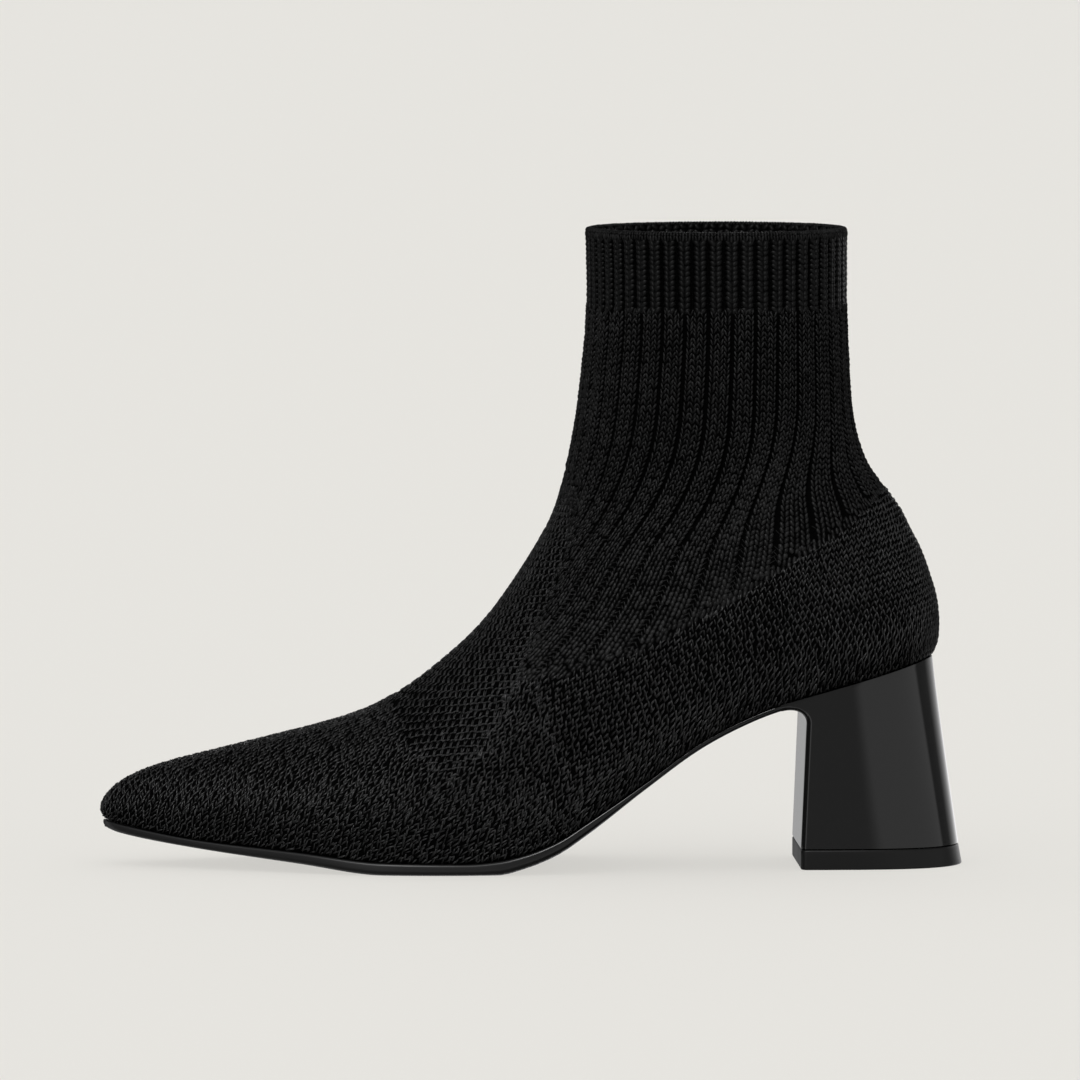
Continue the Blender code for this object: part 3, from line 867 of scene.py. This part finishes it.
def leaning_sites(field, levels, start, pitch, slope, middle, kind, loose):
    """Places of one kind of knit on level lines of a field, in wales that lean from the start column."""
    around = start + np.arange(-COLUMNS / 2, COLUMNS / 2 + 1)
    count = np.arange(-MOST_WALES // 4, MOST_WALES)
    step = WALE_WAVE * np.sin(WALE_WAVE_TURN * count)
    found = []
    for n, level in enumerate(levels):
        row, far = level_line(field, around, level)
        far = far - far[COLUMNS // 2]
        reach = (count + 0.5) * pitch
        reach = reach + slope(reach) * (level - middle)
        for way in (-1.0, 1.0):
            inside = (reach > 0) & (way * reach > far[0]) & (way * reach < far[-1])
            column = np.interp(way * reach[inside], far, around)
            place = np.interp(column, around, row) + step[inside]
            found.append(np.stack([column, place, (count[inside] + n) % 2, np.full(len(column), level)]))
    column, row, turn, level = np.concatenate(found, axis=1)
    column = column + shake(len(column), loose)
    inside, place = in_zone(column, row, ZONE_STRAY, kind)
    keep = inside & (np.abs(on_knit(field[..., None], column, row)[:, 0] - level) < LEVEL_REACH)
    crowded = slope_of(field, column, row) + shake(len(column), 0.15) > CROWDED_SLOPE
    odd = np.rint((level - levels[0]) / (levels[1] - levels[0])) % 2 == 1
    keep &= ~(crowded & odd)
    row = np.maximum(row[keep] + shake(keep.sum(), loose), LEAST_ROW)
    return column[keep], row, 2.0 * turn[keep] - 1.0, place[keep]


def lay_toe():
    """Short wavy legs over the toe and the sides of the forefoot, zigzag about a slant."""
    levels = np.arange(*TOE_LEVELS, TOE_COURSE)
    column, row, turn, place = leaning_sites(
        up_length[:collar_row], levels, 0.0, TOE_WALE, lambda reach: TOE_SLOPE, TOE_MIDDLE, TOE, 0.25)
    n = len(column)
    angle = np.interp(place[:, 0], TOE_SLANT_X, TOE_SLANT) + TOE_ZIGZAG * turn + shake(n, 12.0)
    length, wide, high = draw(n, TOE_LONG), draw(n, TOE_WIDE), draw(n, TOE_THICK)
    return lay_yarn("toe_stitches", stitch, column, row, angle, length, wide, high,
                    bend=shake(n, 0.16), dip=draw(n, (0.1, 0.3)), lightest=1.8)


def lay_pocket():
    """Upright zigzag legs on the heel pocket and arch, slanting along the sole edge, with holes between."""
    height = knit_points[:collar_row, :, 2] - POCKET_TILT * knit_points[:collar_row, :, 0]
    levels = np.arange(*POCKET_LEVELS, POCKET_COURSE)
    column, row, turn, place = leaning_sites(
        height, levels, BACK_COLUMN, POCKET_WALE,
        lambda reach: -np.interp(reach, (10.0, 70.0), (0.0, 0.4)), POCKET_MIDDLE, POCKET, 0.22)
    n = len(column)
    low = 1 - ease(*POCKET_EDGE, place[:, 2] - feather_z(place[:, 0]))
    slant = np.interp(place[:, 0], POCKET_SLANT_X, POCKET_SLANTS)
    angle = slant - 14.0 * low + turn * (POCKET_ZIGZAG - 11.0 * low) + shake(n, 6.0)
    length = draw(n, POCKET_LONG) + 0.9 * low
    high = draw(n, POCKET_THICK) * (1 - 0.35 * ease(100.0, 118.0, place[:, 0]))
    return lay_yarn("heel_stitches", stitch, column, row, angle, length, draw(n, POCKET_WIDE), high,
                    bend=shake(n, 0.06), dip=0.18, lightest=1.9)


def lay_net():
    """Open net on the instep: wavy yarns across with slanting links between its rows of holes."""
    height = knit_points[:collar_row, :, 2] - NET_TILT * knit_points[:collar_row, :, 0]
    columns = np.arange(-NET_COLUMNS, NET_COLUMNS + 1)
    column, row = sites_along(height, np.arange(*NET_LEVELS, NET_COURSE), columns, 0.0, NET_WALE, 0.3)
    inside = in_zone(column, row, ZONE_STRAY, NET)[0]
    column, row = column[inside], row[inside]
    n = len(column)
    parts = len(NET_LINKS)
    over, up, angle, length, wide = (np.repeat(values, n) for values in zip(*NET_LINKS))
    stray = [np.tile(shake(n, 0.32), parts) for axis in range(2)]
    column, row = np.tile(column, parts), np.tile(row, parts)
    n = len(column)
    shift = (over + stray[0] + shake(n, 0.06), up + stray[1] + shake(n, 0.06))
    angle = angle + shake(n, 9.0)
    length = length * draw(n, (0.9, 1.15))
    return lay_yarn("instep_net", stitch, column, row, angle, length, wide, draw(n, NET_THICK), shift,
                    bend=shake(n, 0.1), lightest=1.8)


# Lining: plain inner face of the knit from the foot to the rim
def build_lining():
    u, side = around_shares(LINING_COLUMNS)
    k = spaced_rings(LINING_ROWS)
    k = k[k < CUFF_RING + LINING_IN_CUFF]
    skin = upper_skin(u, side, k)
    points = skin - outward(skin) * WALL
    points[..., 2] += LINING_LIFT * (1 - ease(0.0, 1.0, k))[:, None]
    course = length_up(points) / COURSE
    wale = np.broadcast_to(np.arange(LINING_COLUMNS + 1) * WALES / LINING_COLUMNS, course.shape)
    return grid_piece("lining", points, uv=np.stack([wale, course], axis=-1), flip=True)


def sole_half(u):
    """Half width of the sole edge."""
    return smooth_curve(WIDTH_AT, WIDTHS[0], u) * np.sin(np.pi * u)


def sole_edge(u, side, inset):
    """Plan points of the sole edge moved in by inset."""
    x = feather_x(u)
    ahead, behind = np.clip(u + EDGE_STEP, 0, 1), np.clip(u - EDGE_STEP, 0, 1)
    run = feather_x(ahead) - feather_x(behind)
    spread = sole_half(ahead) - sole_half(behind)
    long = np.hypot(run, spread)
    x = np.where(u <= 0, x + inset, np.where(u >= 1, x - inset, x + inset * spread / long))
    half = np.where((u <= 0) | (u >= 1), 0.0, np.maximum(sole_half(u) - inset * run / long, 0.0))
    return x, swing(x, 0.0) + side * half - MIDDLE


def corner_arc(r, start, end, steps):
    """Insets and drops round an edge of radius r, by angles in degrees."""
    return [(r * (1 - math.cos(a)), r * (1 - math.sin(a))) for a in arc(start, end, steps)]


def sole_piece(name, section, place):
    """A closed piece along the sole, its section laid over the outer side and back over the inner side."""
    lines = [place(OUTER, *spot) for spot in section]
    lines += [place(INNER, *spot) for spot in section[::-1]]
    lines.append(lines[0])
    return grid_piece(name, np.stack(lines, axis=1), caps=True)


def ground_z(x):
    """Ground side of the outsole, thinner toward the heel."""
    return tread_z(x) + OUTSOLE_THIN * ease(OUTSOLE_THIN_X, SEAT_FRONT_X, x)


def build_outsole():
    """Thin rubber with a broken top edge and a round ground edge, tucked in under the arch."""
    end = float(feather_u(SEAT_FRONT_X))
    u = np.concatenate([np.linspace(0.0, TIP_SHARE, 40)[:-1], np.linspace(TIP_SHARE, end, 130)])
    edge_x = feather_x(u)
    thick = feather_z(edge_x) - GAP - ground_z(edge_x)
    still = np.zeros_like(thick)
    section = [(still + inset, still) for inset in OUTSOLE_TOP_INSETS]
    section += corner_arc(OUTSOLE_TOP_ROUND * thick, 90, 0, 6)
    section += [(inset, thick - rise) for inset, rise in corner_arc(OUTSOLE_GROUND_ROUND * thick, 0, 90, 9)]
    section += [(still + inset, thick) for inset in OUTSOLE_GROUND_INSETS]
    tuck = OUTSOLE_TUCK * ease(*OUTSOLE_ARCH_X, edge_x)
    tuck = tuck + (SEAT_INSET - OUTSOLE_TUCK) * ease(OUTSOLE_LIP_X, SEAT_FRONT_X, edge_x)

    def place(side, inset, down):
        x, y = sole_edge(u, side, np.minimum(inset, OUTSOLE_TIP_INSET + OUTSOLE_TIP_SPREAD * u) + tuck)
        x[-1] = OUTSOLE_END_X
        top = feather_z(x) - GAP
        return np.stack([x, y, top + (ground_z(x) - top) * down / thick], axis=-1)

    return sole_piece("outsole_rubber", section, place)


def build_insole():
    """Soft footbed with a rounded upper edge."""
    u = np.concatenate([np.linspace(0.0, TIP_SHARE, 30)[:-1], np.linspace(TIP_SHARE, INSOLE_BACK, 110)[:-1],
                        np.linspace(INSOLE_BACK, 1.0, 30)])
    section = [(INSOLE_EDGE + inset, INSOLE_THICK - drop) for inset, drop in INSOLE_TOP]
    section += [(INSOLE_EDGE + inset, INSOLE_THICK - drop)
                for inset, drop in corner_arc(INSOLE_ROUND, 90, 0, 6)]
    section += [(INSOLE_EDGE + inset, up) for inset, up in INSOLE_UNDER]

    def place(side, inset, up):
        most = INSOLE_EDGE + INSOLE_SPREAD * np.minimum(u, 1 - u)
        x, y = sole_edge(u, side, np.minimum(inset, most))
        return np.stack([x, y, feather_z(x) + up], axis=-1)

    return sole_piece("footbed", section, place)


# Heel: block with a thin lip, a coved breast and a round back, and its lift
def heel_front():
    """Shares down the heel and front of the block there: lip, quarter-round cove and breast."""
    lip = [(share, LIP_X) for share in LIP_SHARES] + [(LIP_TURN_DOWN, LIP_X + LIP_TURN_IN)]
    reach, deep = BREAST_TOP_X - LIP_X, COVE_DOWN - LIP_DOWN
    cove = [(LIP_DOWN + deep * (1 - math.cos(a)), LIP_X + reach * math.sin(a)) for a in arc(5, 90, 20)]
    breast = [(s, BREAST_TOP_X + (BREAST_FOOT_X - BREAST_TOP_X) * (s - COVE_DOWN) / (1 - COVE_DOWN))
              for s in np.append(np.linspace(COVE_DOWN, FOOT_SHARES[0], 36)[1:], FOOT_SHARES[1:])]
    return np.array(lip + cove + breast)


def block_half(front, back, x, down):
    """Half width of the heel block, round as the seat on top and squarer at the foot."""
    s = (x - front) / (back - front)
    foot = HEEL_FOOT_HALF * np.sqrt(np.maximum(1 - s ** 4, 0.0))
    along = front + s * (HEEL_BACK_TOP_X - front)
    seat = sole_edge(feather_u(along), INNER, SEAT_INSET)[1] + MIDDLE - swing(along, 0.0)
    return np.where(s >= 1.0, 0.0, seat * (1 - down) + foot * down)


def back_shares(count):
    """Shares from 0 to 1 that crowd toward the round back."""
    return 1 - (1 - np.linspace(0.0, 1.0, count)) ** 2


def both_sides(half):
    outer = half * np.array([1.0, -1.0])
    return np.concatenate([outer, half[-2::-1]])


def lift_outline(front, back, inset):
    """Plan points once round the lift, from the middle of the breast over the outer side."""
    r = BREAST_FILLET
    corner = block_half(front, back, np.array([front + r]), 1.0)[0]
    line = [(front, s * (corner - r)) for s in np.linspace(0.0, 1.0, BREAST_COLUMNS)]
    line += [(front + r * (1 - math.cos(a)), corner - r + r * math.sin(a)) for a in arc(0, 90, 10)[1:-1]]
    x = front + r + (back - front - r) * back_shares(BACK_STEPS + 1)
    line += list(zip(x, block_half(front, back, x, 1.0)))
    return both_sides(np.array(line) * np.array([1.0, 1 - inset / HEEL_FOOT_HALF]))


def heel_z(x, share):
    """Height of a place on the block, by its share down from the sloping seat to the foot."""
    seat = SEAT_FRONT_Z + SEAT_SLOPE * (x - SEAT_FRONT_X) - GAP
    return seat + (TOP_PIECE_HIGH + GAP - seat) * share


def build_heel():
    profile = heel_front()
    shares = np.linspace(LIP_DOWN, 1.0, 900)
    edge_x = np.interp(shares, profile[:, 0], profile[:, 1])
    edge_z = heel_z(edge_x, shares)
    rings = []
    for share, front in profile:
        back = HEEL_BACK_TOP_X + (HEEL_FOOT_BACK_X - HEEL_BACK_TOP_X) * share ** BACK_CURVE
        edge = HEEL_EDGE * (hump(share, HEEL_EDGE_SHARE) + hump(1 - share, HEEL_EDGE_SHARE))
        front, back = front + edge * (share > 0.5), back - edge
        x = front + FRONT_LONG * np.linspace(0.0, 1.0, FRONT_STEPS) ** 2
        x = np.append(x, x[-1] + (back - x[-1]) * back_shares(BACK_STEPS)[1:])
        r = LIP_FILLET + (BREAST_FILLET - LIP_FILLET) * ease(LIP_DOWN, COVE_DOWN, share)
        off_x, off_z = x[:, None] - edge_x[None, :], heel_z(x, share)[:, None] - edge_z[None, :]
        near = np.hypot(off_x, off_z).min(axis=1)
        if share >= LIP_DOWN:
            near[0] = 0.0
        cut = r - np.sqrt(r ** 2 - (r - np.minimum(near, r)) ** 2)
        half = np.maximum(block_half(front, back, x, share) - cut, 0.0) * (1 - edge / HEEL_FOOT_HALF)
        breast = [(front, s * half[0]) for s in np.linspace(0.0, 1.0, BREAST_COLUMNS)[:-1]]
        line = both_sides(np.array(breast + list(zip(x, half))))
        rings.append(np.stack([line[:, 0], line[:, 1] - MIDDLE, heel_z(line[:, 0], share)], axis=-1))
    obj = grid_piece("heel_block", np.array(rings), caps=True)
    bpy.ops.object.shade_smooth_by_angle(angle=SHARP_ANGLE)
    return obj


def build_top_piece():
    reach = TOP_PIECE_BACK_X - HEEL_FOOT_BACK_X
    rows = [(TOP_PIECE_HIGH - drop, inset) for inset, drop in corner_arc(LIFT_ROUND, 90, 0, 5)]
    rows += [(z, 0.0) for z in np.linspace(TOP_PIECE_HIGH - LIFT_ROUND, LIFT_ROUND, 6)[1:-1]]
    rows += [(rise, inset) for inset, rise in corner_arc(LIFT_ROUND, 0, 90, 5)]
    rings = []
    for z, inset in rows:
        flare = reach * (1 - z / TOP_PIECE_HIGH)
        line = lift_outline(BREAST_FOOT_X + inset, HEEL_FOOT_BACK_X + flare - inset, inset)
        rings.append(np.column_stack([line[:, 0], line[:, 1] - MIDDLE, np.full(len(line), z)]))
    obj = grid_piece("heel_lift", np.array(rings), caps=True)
    bpy.ops.object.shade_smooth_by_angle(angle=SHARP_ANGLE)
    return obj


# Materials
def new_material(name, colour, roughness, specular):
    material = bpy.data.materials.new(name)
    material.use_nodes = True
    tree = material.node_tree
    shader = tree.nodes["Principled BSDF"]
    shader.inputs["Base Color"].default_value = (*colour, 1.0)
    shader.inputs["Roughness"].default_value = roughness
    shader.inputs["Specular IOR Level"].default_value = specular
    return material, tree, shader


def plug(tree, socket, value):
    if isinstance(value, (int, float)):
        socket.default_value = value
    else:
        tree.links.new(value, socket)


def calc(tree, operation, a, b=0.0, c=0.0, clamp=False):
    """One sum on numbers or sockets."""
    node = tree.nodes.new("ShaderNodeMath")
    node.operation = operation
    node.use_clamp = clamp
    for socket, value in zip(node.inputs, (a, b, c)):
        plug(tree, socket, value)
    return node.outputs[0]


def share_of(tree, name):
    node = tree.nodes.new("ShaderNodeAttribute")
    node.attribute_name = name
    return node.outputs["Fac"]


def parts_of(tree, vector):
    """The three numbers of a vector socket."""
    split = tree.nodes.new("ShaderNodeSeparateXYZ")
    tree.links.new(vector, split.inputs[0])
    return split.outputs["X"], split.outputs["Y"], split.outputs["Z"]


def object_place(tree):
    return tree.nodes.new("ShaderNodeTexCoord").outputs["Object"]


def noise_of(tree, scale, detail=2.0, roughness=0.5):
    node = tree.nodes.new("ShaderNodeTexNoise")
    node.inputs["Scale"].default_value = scale
    node.inputs["Detail"].default_value = detail
    node.inputs["Roughness"].default_value = roughness
    tree.links.new(object_place(tree), node.inputs["Vector"])
    return node.outputs["Fac"]


def wave_of(tree, place, pitch):
    """Waves along one direction, their pitch in millimetres."""
    return calc(tree, "SINE", calc(tree, "MULTIPLY", place, 2 * math.pi / (pitch * MM)))


def blend_of(tree, share, a, b):
    """a where share is 0 and b where it is 1."""
    return calc(tree, "MULTIPLY_ADD", calc(tree, "SUBTRACT", b, a), share, a)


def ramp_of(tree, low, high, value):
    node = tree.nodes.new("ShaderNodeMapRange")
    node.interpolation_type = "SMOOTHSTEP"
    plug(tree, node.inputs["Value"], value)
    node.inputs["From Min"].default_value = low
    node.inputs["From Max"].default_value = high
    return node.outputs["Result"]


def knit_loop(tree, wale, course, lean):
    """Height of a knit loop: two legs rising in a V, thin at the wale's middle and edges."""
    across = calc(tree, "FRACT", wale)
    edge = calc(tree, "ABSOLUTE", calc(tree, "MULTIPLY_ADD", across, 2.0, -1.0))
    climb = calc(tree, "MULTIPLY_ADD", edge, -lean, course)
    swell = calc(tree, "COSINE", calc(tree, "MULTIPLY", climb, 2 * math.pi))
    leg = calc(tree, "MULTIPLY_ADD", swell, 0.5, 0.5)
    body = calc(tree, "POWER", calc(tree, "SINE", calc(tree, "MULTIPLY", edge, math.pi)), 0.6)
    return calc(tree, "MULTIPLY", calc(tree, "POWER", leg, 0.7), body)


def bump_into(tree, shader, height, distance, strength=1.0):
    bump = tree.nodes.new("ShaderNodeBump")
    bump.inputs["Strength"].default_value = strength
    bump.inputs["Distance"].default_value = distance
    tree.links.new(height, bump.inputs["Height"])
    tree.links.new(bump.outputs["Normal"], shader.inputs["Normal"])


def tone_into(tree, shader, value, dark, light, blue=1.02):
    tone = tree.nodes.new("ShaderNodeValToRGB")
    tone.color_ramp.elements[0].color = (dark, dark, dark, 1.0)
    tone.color_ramp.elements[1].color = (light, light, light * blue, 1.0)
    tree.links.new(value, tone.inputs["Fac"])
    tree.links.new(tone.outputs["Color"], shader.inputs["Base Color"])


def rough_into(tree, shader, cloud, spread, least):
    tree.links.new(calc(tree, "MULTIPLY_ADD", cloud, spread, least), shader.inputs["Roughness"])


def yarn_material(name, roughness, specular):
    """Black yarn with fine fibres, each length a little lighter or darker at random; its range by kind of
    knit also carries painted groove shade and painted ankle highlight.
    """
    material, tree, shader = new_material(name, (0.012, 0.012, 0.012), roughness, specular)
    fibre = noise_of(tree, 2400.0, 3.0, 0.65)
    patch = noise_of(tree, 70.0)
    # yarn_tone holds random tone and, for purl bars and ankle legs, painted shade and painted highlight
    tone = calc(tree, "MULTIPLY", share_of(tree, "yarn_tone"), 0.42)
    value = calc(tree, "MULTIPLY_ADD", fibre, 0.6, tone)
    value = calc(tree, "MULTIPLY_ADD", patch, 0.2, calc(tree, "SUBTRACT", value, 0.25), clamp=True)
    tone_into(tree, shader, calc(tree, "POWER", value, 1.5), 0.0001, 0.025)
    bump_into(tree, shader, fibre, 0.06 * MM)
    return material


def backing_material():
    """Deep black ground of the knit, seen only between the yarns: the knit's own black, kept darker than the
    yarn as painted shade in the gaps.
    """
    # Colour far darker than the yarn's: painted shade between the yarns
    material, tree, shader = new_material("black_backing", (0.001, 0.001, 0.001), 0.8, 0.02)
    weave = noise_of(tree, 900.0, 3.0, 0.6)
    tone_into(tree, shader, weave, 0.0001, 0.0007)
    bump_into(tree, shader, weave, 0.3 * MM)
    return material


def lining_material():
    """Black smooth side of the knit, painted darker between its loops as shade."""
    material, tree, shader = new_material("black_lining", (0.008, 0.008, 0.008), 0.75, 0.15)
    node = tree.nodes.new("ShaderNodeUVMap")
    node.uv_map = UV_NAME
    wale, course = parts_of(tree, node.outputs[0])[:2]
    high = knit_loop(tree, wale, course, 0.6)
    bump_into(tree, shader, high, 0.3 * MM)
    # Colour follows the loop height: painted shade in the hollows between loops
    tone_into(tree, shader, high, 0.002, 0.013, blue=1.0)
    return material


def rubber_material(name, tone, roughness, specular, tread):
    """Black rubber with fine grain, and shallow cross grooves on the ground side if asked; with those it also
    turns glossier and is painted darker from the ball back, as painted shade under the upper.
    """
    material, tree, shader = new_material(name, (tone, tone, tone), roughness, specular)
    height = calc(tree, "MULTIPLY", noise_of(tree, 1500.0, 3.0, 0.6), 0.12)
    rough = roughness - 0.06
    if tread:
        along = parts_of(tree, object_place(tree))[0]
        facing = parts_of(tree, tree.nodes.new("ShaderNodeNewGeometry").outputs["Normal"])[2]
        down = ramp_of(tree, -0.6, -0.95, facing)
        groove = calc(tree, "MULTIPLY", ramp_of(tree, 0.3, 0.7, wave_of(tree, along, TREAD_PITCH)), down)
        height = calc(tree, "ADD", height, groove)
        # Toward the waist the colour is painted darker, as shade under the upper, and the rubber is made
        # glossier
        forward = ramp_of(tree, WAIST_X[0] * MM, WAIST_X[1] * MM, along)
        tone_into(tree, shader, forward, 0.003, tone)
        rough = blend_of(tree, forward, WAIST_GLOSS, rough)
    bump_into(tree, shader, height, 0.3 * MM, 0.6)
    rough_into(tree, shader, noise_of(tree, 40.0, 3.0), 0.12, rough)
    return material


def heel_material():
    """Polished black plastic."""
    material, tree, shader = new_material("gloss_black_heel", (0.005, 0.005, 0.005), 0.1, 0.5)
    rough_into(tree, shader, noise_of(tree, 25.0), 0.04, 0.07)
    return material


def footbed_material():
    """Black cloth over foam, with a fine plain weave."""
    material, tree, shader = new_material("black_footbed", (0.014, 0.014, 0.014), 0.8, 0.2)
    threads = [wave_of(tree, place, THREAD_PITCH) for place in parts_of(tree, object_place(tree))[:2]]
    bump_into(tree, shader, calc(tree, "MULTIPLY", *threads), 0.1 * MM)
    return material


pieces = []


def add_piece(obj, material, node):
    pieces.append(obj)
    obj.data.materials.clear()
    obj.data.materials.append(material)
    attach(obj, "root")
    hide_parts(node)


rng = np.random.default_rng(YARN_SEED)
knit_points, up_length, collar_row = knit_surface()
knit_normals = outward(knit_points)
stitch = model_yarn(3, 4)
loop = model_yarn(5, 5)
cuff_cloth = (lay_cuff(), lay_rim())
shaft_cloth = (lay_shaft("shaft_stitches_outer", OUTER), lay_shaft("shaft_stitches_inner", INNER))
ribbed_cloth = shaft_cloth + (lay_purl(), lay_band())
foot_cloth = (lay_pocket(), lay_net(), lay_toe())
for cloth, knit_material in (
    (cuff_cloth, yarn_material("black_cuff_yarn", 0.46, 0.11)),
    (ribbed_cloth, yarn_material("black_rib_yarn", 0.45, 0.15)),
    (foot_cloth, yarn_material("black_foot_yarn", 0.34, 0.29)),
    ((grid_piece("knit_backing", knit_points),), backing_material()),
    ((build_lining(),), lining_material()),
):
    for stitches in cloth:
        add_piece(stitches, knit_material, "upper")
sole_rubber = rubber_material("satin_sole_rubber", 0.010, 0.38, 0.3, True)
lift_rubber = rubber_material("matte_lift_rubber", 0.006, 0.4, 0.2, False)
add_piece(build_outsole(), sole_rubber, "outsole")
add_piece(build_insole(), footbed_material(), "insole")
add_piece(build_heel(), heel_material(), "heel")
add_piece(build_top_piece(), lift_rubber, "top_piece")

# Floor, light and camera
FLOOR_COLOUR = (0.82, 0.805, 0.765)
FLOOR_WIDE = 60.0
deselect_all()
bpy.ops.mesh.primitive_plane_add(size=FLOOR_WIDE, location=(0.0, 0.0, 0.0))
floor = bpy.context.object
floor.name = "floor"
floor.data.materials.append(new_material("pale_floor", FLOOR_COLOUR, 0.9, 0.1)[0])
floor.visible_glossy = False


def soft_sun(name, aim, power, wide, lit, glints=True):
    """A broad sun that lights only some objects and is shaded only by them."""
    lamp = bpy.data.lights.new(name, "SUN")
    lamp.energy = power
    lamp.angle = math.radians(wide)
    obj = bpy.data.objects.new(name, lamp)
    bpy.context.scene.collection.objects.link(obj)
    obj.rotation_euler = Vector(aim).to_track_quat("-Z", "Y").to_euler()
    obj.visible_glossy = glints
    group = bpy.data.collections.new(name)
    for piece in lit:
        group.objects.link(piece)
    obj.light_linking.receiver_collection = group
    obj.light_linking.blocker_collection = group


soft_sun("front_softbox", (0.25, 0.8, -0.8), 2.5, 25.0, pieces)
soft_sun("back_softbox", (-0.15, -1.0, -0.3), 1.6, 20.0, pieces, glints=False)
soft_sun("floor_softbox", (0.0, 0.0, -1.0), 2.3, 60.0, [floor])

# Studio round the boot: panels of light by bearing, 0 toward the camera and growing toward the heel side
PANELS = (
    (-180, 0.5), (-165, 0.5), (-150, 0.04), (-128, 0.04), (-122, 0.9), (-108, 0.9),
    (-102, 0.03), (-42, 0.03), (-36, 1.0), (-24, 1.0), (-18, 0.26), (13, 0.26),
    (19, 0.66), (97, 0.66), (101, 0.14), (120, 0.14), (155, 1.6), (180, 1.9),
)
# Bands of light under the boot, 0 level toward the camera and 180 level behind
FLOOR_BANDS = (
    (0, 0.26), (34, 0.26), (38, 0.9), (46, 0.9), (50, 0.03),
    (112, 0.03), (118, 0.7), (140, 0.7), (148, 0.05), (180, 0.05),
)
FILL = 0.25
CEILING = 0.2
REAR = 0.5
BACKDROP = 0.78
CEILING_FROM = (0.45, 0.30)
FLOOR_FROM = (-0.45, -0.55)
REAR_FROM = (0.975, 0.99)
HORIZON = (0.03, -0.01)
world = bpy.data.worlds.new("studio")
world.use_nodes = True
bpy.context.scene.world = world
sky = world.node_tree
background = sky.nodes["Background"]
sky_x, sky_y, sky_z = parts_of(sky, sky.nodes.new("ShaderNodeTexCoord").outputs["Generated"])
toward = calc(sky, "MULTIPLY", sky_y, -1.0)
bearing = calc(sky, "ARCTAN2", sky_x, toward)
turn = calc(sky, "MULTIPLY_ADD", bearing, 0.5 / math.pi, 0.5)
fall = calc(sky, "ARCTAN2", calc(sky, "MULTIPLY", sky_z, -1.0), toward)


def bands_of(bands, first, last, place):
    """Levels of light by place, from bands given in degrees between first and last."""
    ramp = sky.nodes.new("ShaderNodeValToRGB")
    stops = ramp.color_ramp.elements
    while len(stops) < len(bands):
        stops.new(0.5)
    for stop, (degrees, level) in zip(stops, bands):
        stop.position = (degrees - first) / (last - first)
        stop.color = (level, level, level, 1.0)
    sky.links.new(place, ramp.inputs["Fac"])
    return ramp.outputs["Color"]


level = blend_of(sky, ramp_of(sky, *CEILING_FROM, sky_z), CEILING, bands_of(PANELS, -180, 180, turn))
below = bands_of(FLOOR_BANDS, 0, 180, calc(sky, "MULTIPLY", fall, 1.0 / math.pi))
level = blend_of(sky, ramp_of(sky, *FLOOR_FROM, sky_z), level, below)
rear = blend_of(sky, ramp_of(sky, *HORIZON, sky_z), CEILING, REAR)
level = blend_of(sky, ramp_of(sky, *REAR_FROM, sky_y), level, rear)
rays = sky.nodes.new("ShaderNodeLightPath").outputs
level = blend_of(sky, rays["Is Glossy Ray"], FILL, level)
sky.links.new(blend_of(sky, rays["Is Camera Ray"], level, BACKDROP), background.inputs["Color"])

CAMERA_FAR = 4.1
CAMERA_YAW = math.radians(2.3)
CAMERA_PITCH = math.radians(4.1)
FRAME_WIDE = 0.3230
SENSOR_WIDE = 36.0
SIGHT_END = 200.0
AIM = Vector((0.0029, 0.0, 0.0973))
camera = bpy.data.cameras.new("photo_camera")
camera.sensor_width = SENSOR_WIDE
camera.lens = SENSOR_WIDE * CAMERA_FAR / FRAME_WIDE
camera.clip_end = SIGHT_END
viewer = bpy.data.objects.new("photo_camera", camera)
bpy.context.scene.collection.objects.link(viewer)
back_off = Vector((
    -math.sin(CAMERA_YAW) * math.cos(CAMERA_PITCH),
    -math.cos(CAMERA_YAW) * math.cos(CAMERA_PITCH),
    math.sin(CAMERA_PITCH),
))
viewer.location = AIM + back_off * CAMERA_FAR
viewer.rotation_euler = (-back_off).to_track_quat("-Z", "Y").to_euler()
bpy.context.scene.camera = viewer
bpy.context.scene.view_settings.view_transform = "Standard"
